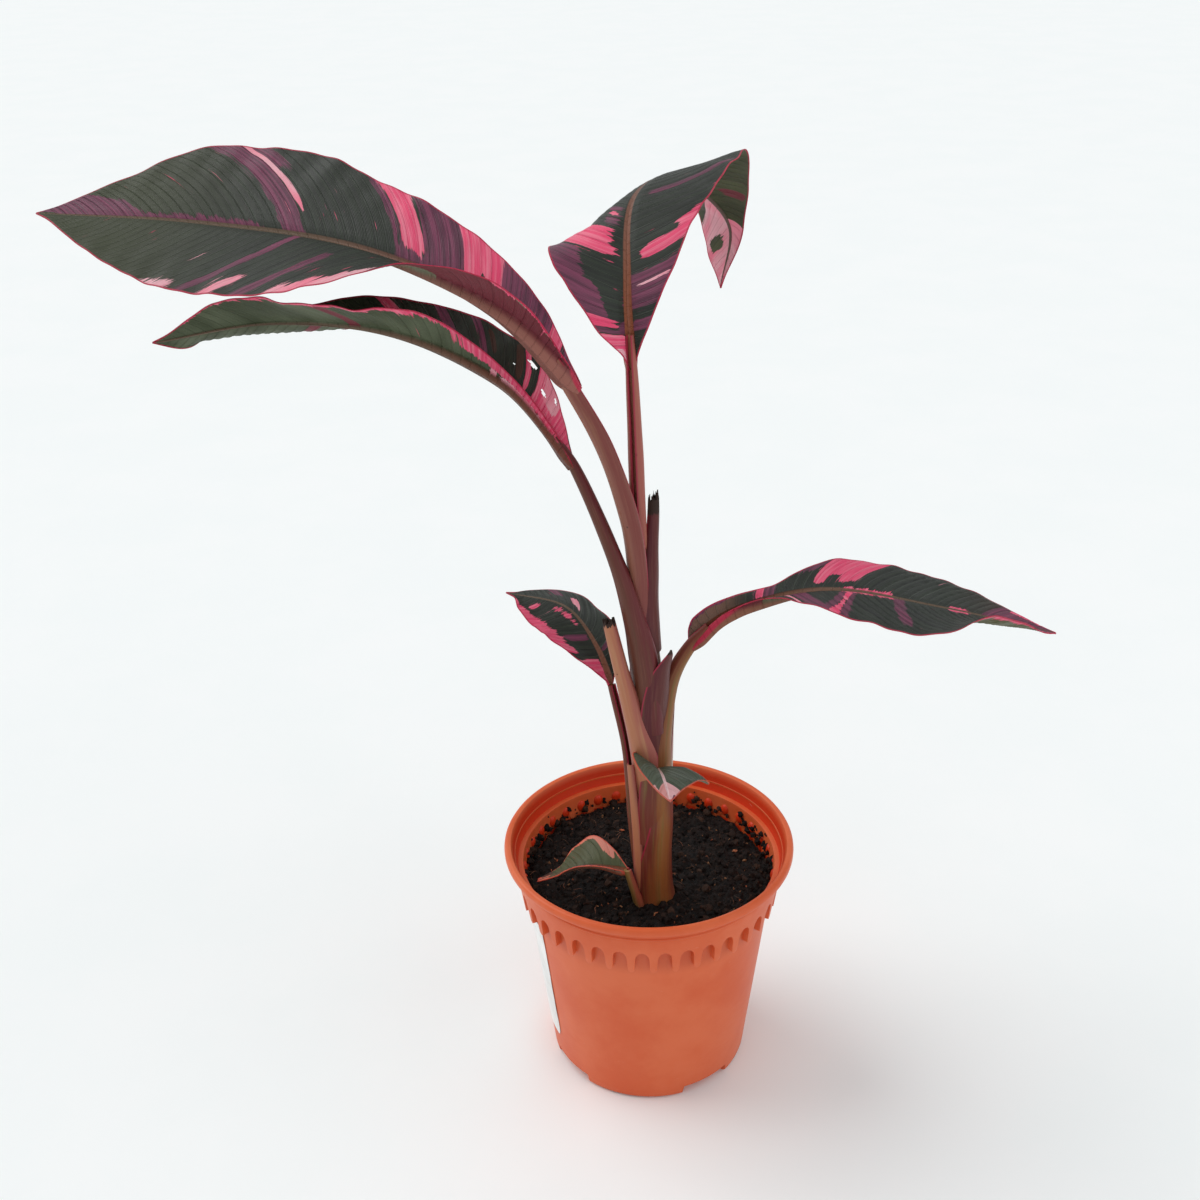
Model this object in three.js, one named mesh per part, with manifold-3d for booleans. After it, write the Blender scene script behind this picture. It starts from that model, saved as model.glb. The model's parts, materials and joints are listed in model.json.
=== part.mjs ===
// A young banana plant with variegated leaves, in a plastic nursery pot.
// Millimetres, +Z up. The origin is the centre of the pot's flat underside, and -Y is the front.
import * as THREE from 'three';
import { mergeVertices } from 'three/addons/utils/BufferGeometryUtils.js';
import Module from 'manifold-3d';

const wasm = await Module();
wasm.setup();

// ---- Driving dimensions ----
const GAP = 0.3;              // clearance left between pieces that touch

const POT_HEIGHT = 175;
const RIM_RADIUS = 100;
const FOOT_RADIUS = 66;
const WALL_FOOT_RADIUS = 69.2; // where the wall's slope would meet the ground
const WALL_SLOPE = 0.116;     // outward run of the wall per millimetre of height
const WALL_THICKNESS = 1.8;
const FLOOR_THICKNESS = 2.2;
const LIP_HEIGHT = 9;
const LIP_WIDTH = 5;          // from the lip's outside to its inside
const LIP_EDGE = 1;           // rounding of the lip's top edges
const COLLAR_STAND = 5.5;     // how far the collar stands proud of the wall
const COLLAR_HEIGHT = 34;
const COLLAR_EDGE = 0.5;      // slope of the collar's lower and upper edges
const MOUTH_BOTTOM = 144;     // from here up, the inside opens out towards the lip
const FOOT_EDGE = 2;          // rounding of the bottom corner
const FLOOR_CORNER = 5;       // bevel between the floor and the wall, inside
const POT_SIDES = 40;

const NOTCH_COUNT = 4;
const NOTCH_ANGLE = 34;       // degrees round from the front to the first notch
const NOTCH_WIDTH = 32;       // degrees that a notch spans
const NOTCH_HEIGHT = 8;
const NOTCH_INNER_RADIUS = 54;

const COMPOST_LEVEL = 149.7;
const COMPOST_EDGE_DROP = 3.5;
const COMPOST_FLAT_RADIUS = 56;
const STEM_FOOT = COMPOST_LEVEL + GAP;

const LABEL_START = -62;      // degrees round from the front
const LABEL_END = -126;
const LABEL_BOTTOM = 27;
const LABEL_TOP = 131;
const LABEL_THICKNESS = 0.4;

const LIMB_SIDES = 8;
const BLADE_THICKNESS = 1.2;
const RIB_THICKNESS = 3.2;    // a blade's thickness along its rib, near the base
const BLADE_ROWS = 17;        // steps along a blade
const BLADE_COLUMNS = 4;      // steps across each half of a blade

const COLOURS = {
  terracotta: 0xd76a3c,
  paper: 0xf4f4f2,
  compost: 0x1c1716,
  sheath: 0x7a4636,
  petiole: 0x8e5a4c,
  blade: 0x33443a,
  blush: 0xc8467a,
  dried: 0x4a3328,
};

// ---- Limbs: [x, y, z, half width, half depth] down the middle of each, from foot to end ----
const LIMBS = {
  pseudostem: {
    front: [0, -1, 0],
    points: [
      [3, -31, 150, 14.5, 13], [2, -31, 160, 12.5, 11.5], [1, -30, 200, 12.5, 11.5],
      [1, -29, 250, 13.5, 11.5], [-1, -28, 290, 12.5, 10.5], [-3, -27, 335, 10, 9],
      [-6, -27, 380, 7.5, 7], [-7, -27, 415, 5.5, 5.2],
    ],
  },
  petiole_top: {
    front: [0, -1, 0],
    points: [[-7, -27, 416, 5.2, 5], [-8, -26, 470, 4.6, 4.2], [-10, -24, 520, 3.8, 3.6]],
  },
  petiole_upper_left: {
    front: [0, -1, 0],
    points: [
      [-6, -31, 385, 8, 5.5], [-14, -33, 440, 7.2, 6],
      [-27, -35, 480, 6, 5.2], [-44, -38, 516, 5.2, 4.8],
    ],
  },
  petiole_lower_left: {
    front: [0, -1, 0],
    points: [
      [0, -38, 300, 10, 5], [-9, -37, 360, 8, 6],
      [-19, -35, 400, 5, 4.8], [-45, -24, 463, 3.4, 3.4],
    ],
  },
  petiole_right: {
    front: [0, -1, 0],
    points: [
      [3, -39, 240, 9, 4.5], [7, -35, 290, 6.5, 5.5],
      [14, -27, 318, 5.4, 5], [26, -24, 340, 4.6, 4.2],
    ],
  },
  petiole_back: {
    front: [0, -1, 0],
    points: [
      [-5, -36, 152, 4.5, 3.5], [-11, -28, 210, 4, 3.2],
      [-15, -18, 260, 3.3, 2.9], [-23, -8, 299, 2.8, 2.6],
    ],
  },
  petiole_low: {
    front: [0, -1, 0],
    points: [[-8, -40, 150, 4, 3.5], [-11, -41, 162, 3.2, 3], [-15, -40, 175, 2.8, 2.6]],
  },
  petiole_front: {
    front: [0, -1, 0],
    points: [[5, -40, 152, 9, 5], [6, -41, 195, 7, 4], [7, -43, 230, 4.6, 3.2], [5, -44, 258, 3.4, 2.6]],
  },
  cut_stump: {
    front: [0, -1, 0],
    points: [
      [-3, -41, 262, 8, 4], [-12, -41, 305, 6.2, 5],
      [-18, -40, 330, 4.8, 4.4], [-26, -36, 366, 4, 3.8],
    ],
  },
  dried_stub: {
    front: [0, -1, 0],
    points: [[3, -26, 335, 4.5, 2.5], [2, -22, 385, 3.8, 2], [2, -20, 438, 2, 1]],
  },
};

// ---- Blades ----
// rib: points down the middle of the midrib, from the blade's base to its tip.
// face: where the upper surface looks at the base. Right and left are as seen from the base, looking along
// the rib with the upper surface up. stations: [place along the rib from 0 to 1, right width, left width,
// right rise, left rise, right curl, left curl]. A rise is the angle at which that half leaves the rib, and
// a curl is how much more it turns up by its margin, both in degrees.
const BLADES = {
  blade_upper_left: {
    face: [0.7, 0, 0.7],
    rib: [[-40, -38, 515], [-85, -40, 563], [-155, -25, 593], [-250, 0, 604], [-348, 14, 608]],
    stations: [
      [0, 5, 5, 30, 60, 0, 0], [0.08, 16, 9, 40, 66, 0, 0], [0.2, 30, 20, 44, 50, 0, 0],
      [0.29, 39, 30, 46, 24, 0, 0], [0.36, 45, 42, 45, 4, 0, 0], [0.46, 53, 54, 46, -16, -10, -6],
      [0.58, 63, 58, 48, -28, -10, -6], [0.72, 60, 56, 46, -33, -8, -5], [0.84, 43, 43, 38, -36, 0, 0],
      [0.93, 24, 22, 34, -32, 0, 0], [0.98, 6, 6, 30, -25, 0, 0], [1, 0.6, 0.6, 30, -25, 0, 0],
    ],
  },
  blade_lower_left: {
    face: [0.7, 0, 0.7],
    rib: [[-45, -24, 462], [-85, -22, 513], [-140, -20, 543], [-210, -17, 551], [-285, -13, 539]],
    stations: [
      [0, 4, 3, 60, 80, 0, 0], [0.1, 15, 5, 62, 85, -10, 0], [0.22, 28, 7, 50, 85, 0, 20],
      [0.33, 32, 12, 22, 65, 30, 40], [0.45, 34, 20, -25, 50, 110, 30], [0.57, 36, 25, -50, 36, 145, 0],
      [0.7, 36, 27, -72, 40, 155, 0], [0.81, 29, 21, -75, 60, 155, 0], [0.9, 18, 11, -70, 75, 100, 0],
      [0.97, 6, 3, -60, 70, 0, 0], [1, 0.6, 0.6, -60, 70, 0, 0],
    ],
  },
  blade_top: {
    face: [0.1, -1, 0],
    to: 0.6,
    rib: [[-10, -24, 521], [-12, -15, 568], [-8, 20, 608], [20, 74, 610], [57, 110, 570], [52, 112, 530]],
    stations: [
      [0, 4, 4, 20, 20, 0, 0], [0.08, 10, 15, 28, 30, 0, 0], [0.2, 26, 35, 20, 20, 0, 0],
      [0.33, 40, 43, 18, -5, 0, -25], [0.43, 48, 42, 26, -42, 0, -30], [0.53, 52, 38, 36, -62, 0, -30],
      [0.63, 48, 36, 42, -55, 0, -30], [0.75, 32, 32, 40, -20, 0, 0], [0.87, 11, 25, 40, 0, 0, 0],
      [0.95, 4, 13, 20, 0, 0, 0], [1, 0.6, 0.6, 0, 0, 0, 0],
    ],
  },
  blade_right: {
    face: [-0.7, 0, 0.7],
    rib: [[26, -24, 339], [48, -24, 360], [105, -25, 378], [180, -28, 366], [254, -28, 346]],
    stations: [
      [0, 3, 8, 60, 60, 0, 0], [0.06, 3, 12, 60, 70, 0, 0], [0.16, 4, 11, 60, 50, 0, 0],
      [0.25, 6, 9, 30, 30, 0, 0], [0.32, 12, 14, 10, 30, 0, 0], [0.44, 32, 32, -3, 10, 0, 0],
      [0.58, 40, 38, -4, 5, 0, 0], [0.7, 36, 36, -8, 4, 30, 0], [0.8, 28, 27, -15, 4, 90, 0],
      [0.88, 18, 17, -10, 4, 80, 0], [0.95, 8, 6, 0, 4, 30, 0], [1, 0.6, 0.6, 0, 4, 0, 0],
    ],
  },
  blade_back: {
    face: [0.5, -0.6, 0.6],
    rib: [[-24, -6, 302], [-33, 3, 325], [-52, 19, 346], [-93, 40, 347]],
    stations: [
      [0, 3, 3, 20, 0, 0, 40], [0.12, 9, 10, 15, -30, 0, 60], [0.3, 20, 22, 0, -45, 0, 80],
      [0.5, 24, 28, -20, -50, 0, 80], [0.7, 20, 24, -20, -50, 0, 70], [0.86, 9, 12, -10, -30, 0, 40],
      [0.93, 3, 3, 0, 0, 0, 0], [1, 0.6, 0.6, 0, 0, 0, 0],
    ],
  },
  blade_low: {
    face: [0, -0.3, 1],
    rib: [[-15, -40, 177], [-42, -32, 176], [-77, -20, 155]],
    stations: [
      [0, 3, 3, 30, 40, 0, 0], [0.2, 15, 6, 20, 50, 0, 0], [0.42, 23, 8, 10, 50, 0, 0],
      [0.62, 19, 7, 0, 40, 0, 0], [0.74, 6, 4, 0, 20, 0, 0], [1, 1.5, 1.5, 0, 10, 0, 0],
    ],
  },
  blade_front: {
    face: [0, 0, 1],
    rib: [[4, -44, 262], [7, -60, 266], [11, -78, 259]],
    stations: [
      [0, 18, 28, 40, 0, 0, 0], [0.25, 21, 34, 34, -5, 0, 20], [0.55, 14, 26, 20, -8, 0, 30],
      [0.8, 7, 12, 10, -5, 0, 0], [1, 1, 1, 0, 0, 0, 0],
    ],
  },
};
BLADES.blade_top_tip = { ...BLADES.blade_top, from: 0.6, to: 1 };

// ---- Geometry helpers ----

/** Makes a BufferGeometry from flat lists of positions and triangle corners. */
function geometryFrom(positions, corners) {
  const geometry = new THREE.BufferGeometry();
  geometry.setAttribute('position', new THREE.Float32BufferAttribute(positions, 3));
  geometry.setIndex(corners);
  return geometry;
}

/** Turns a closed geometry into a solid for booleans. */
function solidFrom(geometry) {
  const plain = geometry.clone();
  plain.deleteAttribute('normal');
  plain.deleteAttribute('uv');
  const merged = mergeVertices(plain, 1e-4);
  return new wasm.Manifold(new wasm.Mesh({
    numProp: 3,
    vertProperties: new Float32Array(merged.attributes.position.array),
    triVerts: new Uint32Array(merged.index.array),
  }));
}

/** Turns a solid back into a geometry, keeping only its largest body. */
function geometryOf(solid) {
  const bodies = solid.decompose();
  bodies.sort((a, b) => b.volume() - a.volume());
  const mesh = bodies[0].getMesh();
  const geometry = geometryFrom(Array.from(mesh.vertProperties), Array.from(mesh.triVerts));
  geometry.computeVertexNormals();
  return geometry;
}

/** Reads column `column` of `rows` at `at`, on a smooth curve that doesn't overshoot the rows. */
function readRows(rows, column, at) {
  let i = 0;
  while (i < rows.length - 2 && at > rows[i + 1][0]) {
    i += 1;
  }
  const slope = (k) => {
    const a = Math.max(k, 0);
    const b = Math.min(k + 1, rows.length - 1);
    return a === b || k < 0 ? 0 : (rows[b][column] - rows[a][column]) / (rows[b][0] - rows[a][0]);
  };
  const tangent = (k) => {
    const before = slope(k - 1);
    const after = slope(k);
    return before * after <= 0 ? 0 : (2 * before * after) / (before + after);
  };
  const span = rows[i + 1][0] - rows[i][0];
  const t = (at - rows[i][0]) / span;
  const t2 = t * t;
  const t3 = t2 * t;
  const start = i === 0 ? slope(0) : tangent(i);
  const end = i + 1 === rows.length - 1 ? slope(i) : tangent(i + 1);
  return (2 * t3 - 3 * t2 + 1) * rows[i][column] + (t3 - 2 * t2 + t) * span * start
    + (3 * t2 - 2 * t3) * rows[i + 1][column] + (t3 - t2) * span * end;
}

/** Walks along a curve and returns a frame at each place, which turns as little as it can. */
function framesAlong(curve, places, face) {
  const frames = [];
  let previous = curve.getTangentAt(0);
  let right = new THREE.Vector3().crossVectors(previous, new THREE.Vector3(...face)).normalize();
  const steps = 60;
  let done = 0;
  for (const place of places) {
    while (done < place * steps) {
      done += 1;
      const tangent = curve.getTangentAt(Math.min(done / steps, 1));
      const turn = new THREE.Quaternion().setFromUnitVectors(previous, tangent);
      right.applyQuaternion(turn).normalize();
      previous = tangent;
    }
    frames.push({
      centre: curve.getPointAt(place),
      right: right.clone(),
      face: new THREE.Vector3().crossVectors(right, previous).normalize(),
      tangent: previous.clone(),
    });
  }
  return frames;
}

/** A tapering limb of oval section along its points, with both ends closed. */
function limbGeometry({ points, front }, grow = 0) {
  const curve = new THREE.CatmullRomCurve3(points.map(([x, y, z]) => new THREE.Vector3(x, y, z)));
  const steps = (points.length - 1) * 2;
  const places = Array.from({ length: steps + 1 }, (_, i) => i / steps);
  const pace = 20;
  const lengths = curve.getLengths((points.length - 1) * pace);
  const rows = points.map((point, i) => [lengths[i * pace] / lengths.at(-1), point[3], point[4]]);
  const flatFoot = Math.abs(points[0][2] - STEM_FOOT) < GAP / 2;
  const positions = [];
  const corners = [];
  framesAlong(curve, places, front).forEach((frame, i) => {
    const halfWidth = readRows(rows, 1, places[i]) + grow;
    const halfDepth = readRows(rows, 2, places[i]) + grow;
    const stretch = i === 0 ? -grow : (i === steps ? grow : 0);
    for (let k = 0; k < LIMB_SIDES; k += 1) {
      const angle = (2 * Math.PI * k) / LIMB_SIDES;
      const point = frame.centre.clone()
        .addScaledVector(frame.right, halfWidth * Math.cos(angle))
        .addScaledVector(frame.face, halfDepth * Math.sin(angle))
        .addScaledVector(frame.tangent, stretch);
      positions.push(point.x, point.y, i === 0 && flatFoot ? STEM_FOOT - grow : point.z);
    }
  });
  for (let i = 0; i < steps; i += 1) {
    for (let k = 0; k < LIMB_SIDES; k += 1) {
      const a = i * LIMB_SIDES + k;
      const b = i * LIMB_SIDES + ((k + 1) % LIMB_SIDES);
      corners.push(a, a + LIMB_SIDES, b, b, a + LIMB_SIDES, b + LIMB_SIDES);
    }
  }
  const last = steps * LIMB_SIDES;
  for (let k = 1; k < LIMB_SIDES - 1; k += 1) {
    corners.push(0, k, k + 1, last, last + k + 1, last + k);
  }
  return geometryFrom(positions, corners);
}

/** A thin blade: two half blades that leave the rib at their own rise and curl, with a thicker rib. */
function bladeGeometry({ rib, face, stations, from = 0, to = 1 }, grow = 0) {
  const curve = new THREE.CatmullRomCurve3(rib.map((point) => new THREE.Vector3(...point)));
  const rows = Math.max(4, Math.round(BLADE_ROWS * (to - from)));
  const start = from + (from > 0 ? GAP / curve.getLength() : 0);
  const places = Array.from({ length: rows + 1 }, (_, i) => start + ((to - start) * i) / rows);
  const columns = 2 * BLADE_COLUMNS + 1;
  const upper = [];
  const lower = [];
  framesAlong(curve, places, face).forEach((frame, i) => {
    const row = Array.from({ length: 6 }, (_, k) => readRows(stations, k + 1, places[i]));
    const thickness = (across) => {
      const ridge = RIB_THICKNESS * (1 - places[i]) * Math.max(0, 1 - 3 * across);
      return (BLADE_THICKNESS + ridge) / 2 + grow;
    };
    const upperRow = [];
    const lowerRow = [];
    for (const side of [-1, 1]) {
      const [width, rise, curl] = side > 0 ? [row[0], row[2], row[4]] : [row[1], row[3], row[5]];
      const point = frame.centre.clone();
      for (let k = 1; k <= BLADE_COLUMNS; k += 1) {
        const angle = THREE.MathUtils.degToRad(rise + curl * ((k - 0.5) / BLADE_COLUMNS));
        const step = (width + grow) / BLADE_COLUMNS;
        point.addScaledVector(frame.right, side * step * Math.cos(angle));
        point.addScaledVector(frame.face, step * Math.sin(angle));
        const half = thickness(k / BLADE_COLUMNS);
        const across = frame.right.clone().multiplyScalar(-side * Math.sin(angle));
        const normal = across.addScaledVector(frame.face, Math.cos(angle));
        const slot = BLADE_COLUMNS + side * k;
        upperRow[slot] = point.clone().addScaledVector(normal, half);
        lowerRow[slot] = point.clone().addScaledVector(normal, -half);
      }
    }
    upperRow[BLADE_COLUMNS] = frame.centre.clone().addScaledVector(frame.face, thickness(0));
    lowerRow[BLADE_COLUMNS] = frame.centre.clone().addScaledVector(frame.face, -thickness(0));
    upper.push(...upperRow);
    lower.push(...lowerRow);
  });
  const positions = [...upper, ...lower].flatMap((point) => [point.x, point.y, point.z]);
  const corners = [];
  const under = upper.length;
  const quad = (a, b, c, d) => corners.push(a, b, c, a, c, d);
  for (let i = 0; i < rows; i += 1) {
    for (let k = 0; k < columns - 1; k += 1) {
      const a = i * columns + k;
      quad(a, a + 1, a + columns + 1, a + columns);
      quad(under + a, under + a + columns, under + a + columns + 1, under + a + 1);
    }
    const left = i * columns;
    const right = left + columns - 1;
    quad(left, left + columns, under + left + columns, under + left);
    quad(right, under + right, under + right + columns, right + columns);
  }
  for (let k = 0; k < columns - 1; k += 1) {
    const far = rows * columns + k;
    quad(k, under + k, under + k + 1, k + 1);
    quad(far, far + 1, under + far + 1, under + far);
  }
  return geometryFrom(positions, corners);
}

/** The wall's outer radius at a height. */
function wallRadius(height) {
  return WALL_FOOT_RADIUS + WALL_SLOPE * height;
}

/** A wedge of ring standing on the ground, centred `degrees` round from the front. */
function ringWedge(degrees, width, inner, outer, bottom, top) {
  const shape = new THREE.Shape();
  const middle = THREE.MathUtils.degToRad(degrees - 90);
  const half = THREE.MathUtils.degToRad(width / 2);
  shape.absarc(0, 0, outer, middle - half, middle + half, false);
  shape.absarc(0, 0, inner, middle + half, middle - half, true);
  const settings = { depth: top - bottom, bevelEnabled: false, curveSegments: 8 };
  const wedge = new THREE.ExtrudeGeometry(shape, settings);
  return wedge.translate(0, 0, bottom);
}

/** A solid of revolution from [radius, height] pairs that start and end on the axis. */
function turnedSolid(profile) {
  const geometry = new THREE.LatheGeometry(profile.map(([r, z]) => new THREE.Vector2(r, z)), POT_SIDES);
  return solidFrom(geometry.rotateX(Math.PI / 2));
}

/** All four foot notches as one solid, grown outwards by `grow`. */
function notches(grow) {
  let all = null;
  for (let i = 0; i < NOTCH_COUNT; i += 1) {
    const degrees = NOTCH_ANGLE + (360 / NOTCH_COUNT) * i;
    const growDegrees = THREE.MathUtils.radToDeg((2 * grow) / FOOT_RADIUS);
    const width = NOTCH_WIDTH + growDegrees;
    const wedge = ringWedge(degrees, width, NOTCH_INNER_RADIUS - grow, RIM_RADIUS, -1, NOTCH_HEIGHT + grow);
    all = all ? all.add(solidFrom(wedge)) : solidFrom(wedge);
  }
  return all;
}

/** The space inside the pot, up to `top`, drawn in from the wall by `inset`. */
function cavity(inset, top) {
  const foot = FLOOR_THICKNESS + inset;
  const corner = foot + FLOOR_CORNER;
  const radius = (height) => wallRadius(height) - WALL_THICKNESS - inset;
  const profile = [
    [0, foot], [radius(foot) - FLOOR_CORNER, foot], [radius(corner), corner], [radius(top), top], [0, top],
  ];
  return turnedSolid(profile).subtract(notches(FLOOR_THICKNESS + inset));
}

/** The pot: tapered wall, collar, lip and four foot notches. */
function potGeometry() {
  const lipBottom = POT_HEIGHT - LIP_HEIGHT;
  const collarBottom = lipBottom - COLLAR_HEIGHT;
  const outer = turnedSolid([
    [0, 0], [FOOT_RADIUS, 0], [wallRadius(FOOT_EDGE) - GAP, FOOT_EDGE],
    [wallRadius(collarBottom), collarBottom],
    [wallRadius(collarBottom) + COLLAR_STAND, collarBottom + COLLAR_EDGE],
    [wallRadius(lipBottom) + COLLAR_STAND, lipBottom - COLLAR_EDGE], [RIM_RADIUS - LIP_EDGE, lipBottom],
    [RIM_RADIUS, lipBottom + LIP_EDGE], [RIM_RADIUS, POT_HEIGHT - 2 * LIP_EDGE],
    [RIM_RADIUS - 2 * LIP_EDGE, POT_HEIGHT], [0, POT_HEIGHT],
  ]);
  const mouthRadius = RIM_RADIUS - LIP_WIDTH;
  const mouth = turnedSolid([
    [0, MOUTH_BOTTOM], [wallRadius(MOUTH_BOTTOM) - WALL_THICKNESS, MOUTH_BOTTOM],
    [mouthRadius - LIP_EDGE, POT_HEIGHT - 2 * LIP_EDGE], [mouthRadius, POT_HEIGHT + LIP_EDGE],
    [0, POT_HEIGHT + LIP_EDGE],
  ]);
  return geometryOf(outer.subtract(notches(0)).subtract(cavity(0, MOUTH_BOTTOM + COLLAR_EDGE)).subtract(mouth));
}

/** The compost: fills the pot to a little below the rim, and falls off towards the wall. */
function compostGeometry() {
  const reach = wallRadius(COMPOST_LEVEL) + 5;
  const above = turnedSolid([
    [0, COMPOST_LEVEL], [COMPOST_FLAT_RADIUS, COMPOST_LEVEL], [reach, COMPOST_LEVEL - COMPOST_EDGE_DROP],
    [reach, POT_HEIGHT], [0, POT_HEIGHT],
  ]);
  return geometryOf(cavity(GAP, COMPOST_LEVEL + 1).subtract(above));
}

/** The blank stick-on label that wraps round the wall. */
function labelGeometry() {
  const lean = (height, stand) => wallRadius(height) + GAP + stand;
  const skin = (stand) => turnedSolid([
    [0, LABEL_BOTTOM], [lean(LABEL_BOTTOM, stand), LABEL_BOTTOM], [lean(LABEL_TOP, stand), LABEL_TOP],
    [0, LABEL_TOP],
  ]);
  const middle = (LABEL_START + LABEL_END) / 2;
  const width = LABEL_START - LABEL_END;
  const wedge = ringWedge(middle, width, FOOT_RADIUS / 2, RIM_RADIUS, LABEL_BOTTOM, LABEL_TOP);
  return geometryOf(skin(LABEL_THICKNESS).subtract(skin(0)).intersect(solidFrom(wedge)));
}

// ---- Assembly ----
const group = new THREE.Group();

/** Adds one named mesh of one colour to the plant. */
function addPiece(name, geometry, colour, roughness = 0.6) {
  const material = new THREE.MeshStandardMaterial({ color: colour, roughness, metalness: 0 });
  const mesh = new THREE.Mesh(geometry, material);
  mesh.name = name;
  group.add(mesh);
}

/** Adds limbs and blades in turn, each cut back from the ones before it by the clearance. */
function addPlant(order) {
  const keepOuts = [];
  for (const [name, colour] of order) {
    const build = name in LIMBS ? limbGeometry : bladeGeometry;
    const spec = LIMBS[name] ?? BLADES[name];
    let solid = solidFrom(build(spec));
    for (const keepOut of keepOuts) {
      solid = solid.subtract(keepOut);
    }
    addPiece(name, geometryOf(solid), colour, 0.5);
    keepOuts.push(solidFrom(build(spec, GAP)));
  }
}

addPiece('pot', potGeometry(), COLOURS.terracotta, 0.45);
addPiece('label', labelGeometry(), COLOURS.paper, 0.7);
addPiece('compost', compostGeometry(), COLOURS.compost, 0.95);
addPlant([
  ['pseudostem', COLOURS.sheath],
  ['petiole_top', COLOURS.petiole],
  ['petiole_upper_left', COLOURS.petiole],
  ['petiole_lower_left', COLOURS.petiole],
  ['petiole_right', COLOURS.petiole],
  ['cut_stump', COLOURS.petiole],
  ['dried_stub', COLOURS.dried],
  ['petiole_back', COLOURS.petiole],
  ['petiole_front', COLOURS.petiole],
  ['petiole_low', COLOURS.petiole],
  ['blade_upper_left', COLOURS.blush],
  ['blade_lower_left', COLOURS.blade],
  ['blade_top', COLOURS.blush],
  ['blade_top_tip', COLOURS.blade],
  ['blade_right', COLOURS.blade],
  ['blade_back', COLOURS.blade],
  ['blade_low', COLOURS.blade],
  ['blade_front', COLOURS.blade],
]);

export default group;
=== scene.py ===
"""Looks of a young variegated banana plant in a moulded nursery pot, built round its fixed frame.

Shapes are worked out in millimetres, +Z up with the front at -Y, and written to the meshes in metres.
"""

import json
import logging
import math
import random
from dataclasses import dataclass, field
from enum import Enum
from typing import Callable, Iterable, Mapping, Sequence

import bpy
import numpy as np
from mathutils import Euler, Matrix, Vector, noise

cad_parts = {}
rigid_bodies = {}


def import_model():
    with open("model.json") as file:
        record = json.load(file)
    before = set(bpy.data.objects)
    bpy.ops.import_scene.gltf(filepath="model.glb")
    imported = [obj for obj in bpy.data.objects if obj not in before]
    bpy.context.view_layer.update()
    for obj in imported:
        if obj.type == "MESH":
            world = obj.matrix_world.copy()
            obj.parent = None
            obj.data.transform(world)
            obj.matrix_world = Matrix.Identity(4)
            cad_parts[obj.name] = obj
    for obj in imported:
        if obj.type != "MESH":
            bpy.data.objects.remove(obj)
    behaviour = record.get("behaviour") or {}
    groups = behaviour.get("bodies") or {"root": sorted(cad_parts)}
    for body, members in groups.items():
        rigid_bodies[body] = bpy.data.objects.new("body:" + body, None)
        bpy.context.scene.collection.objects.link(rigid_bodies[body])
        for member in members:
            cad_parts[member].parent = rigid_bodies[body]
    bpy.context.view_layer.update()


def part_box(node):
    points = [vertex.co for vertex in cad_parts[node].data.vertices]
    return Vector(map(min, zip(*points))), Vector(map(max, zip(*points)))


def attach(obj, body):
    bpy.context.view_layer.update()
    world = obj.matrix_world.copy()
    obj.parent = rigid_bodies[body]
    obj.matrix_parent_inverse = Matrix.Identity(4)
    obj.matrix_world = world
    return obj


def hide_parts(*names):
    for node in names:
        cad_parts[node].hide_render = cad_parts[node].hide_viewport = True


MM = 0.001
BODY = "root"
LOG = logging.getLogger("banana_plant")

Colour = tuple[float, float, float]
Rows = Sequence[Sequence[float]]


# ---------------------------------------------------------------- numbers and curves


def screen(red: int, green: int, blue: int) -> tuple[float, float, float, float]:
    """Turns a 0 to 255 screen colour into the linear colour that a shader socket takes."""
    linear = []
    for value in (red / 255, green / 255, blue / 255):
        linear.append(value / 12.92 if value <= 0.04045 else ((value + 0.055) / 1.055) ** 2.4)
    return (*linear, 1.0)


def ease(value: np.ndarray) -> np.ndarray:
    """Runs smoothly from 0 at 0 to 1 at 1, and stays there outside."""
    held = np.clip(value, 0, 1)
    return held * held * (3 - 2 * held)


def smooth_rows(rows: Rows, at: np.ndarray) -> np.ndarray:
    """Reads a table of rows on smooth curves that never overshoot the rows.

    Args:
        rows: Rows whose first value is the place and whose others are read.
        at: The places to read at.

    Returns:
        One row of values for each place.
    """
    table = np.array(rows, float)
    places, values = table[:, 0], table[:, 1:]
    gaps = np.diff(places)[:, None]
    slopes = np.diff(values, axis=0) / gaps
    before, after = slopes[:-1], slopes[1:]
    same_way = before * after > 0
    inner = np.where(same_way, 2 * before * after / np.where(same_way, before + after, 1), 0)
    tangents = np.vstack([slopes[:1], inner, slopes[-1:]])
    i = np.clip(np.searchsorted(places, at, side="right") - 1, 0, len(places) - 2)
    t = ((at - places[i]) / (places[i + 1] - places[i]))[:, None]
    low = (2 * t**3 - 3 * t**2 + 1) * values[i] + (t**3 - 2 * t**2 + t) * gaps[i] * tangents[i]
    high = (3 * t**2 - 2 * t**3) * values[i + 1] + (t**3 - t**2) * gaps[i] * tangents[i + 1]
    return low + high


def ripple(at: np.ndarray, lengths: Sequence[float], seed: int) -> np.ndarray:
    """Adds up sine waves of the given lengths, each with its own seeded phase, to a height of about 1."""
    phases = random.Random(seed)
    total = sum(np.sin(2 * np.pi * (at / length + phases.random())) for length in lengths)
    return total / len(lengths)


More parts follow.
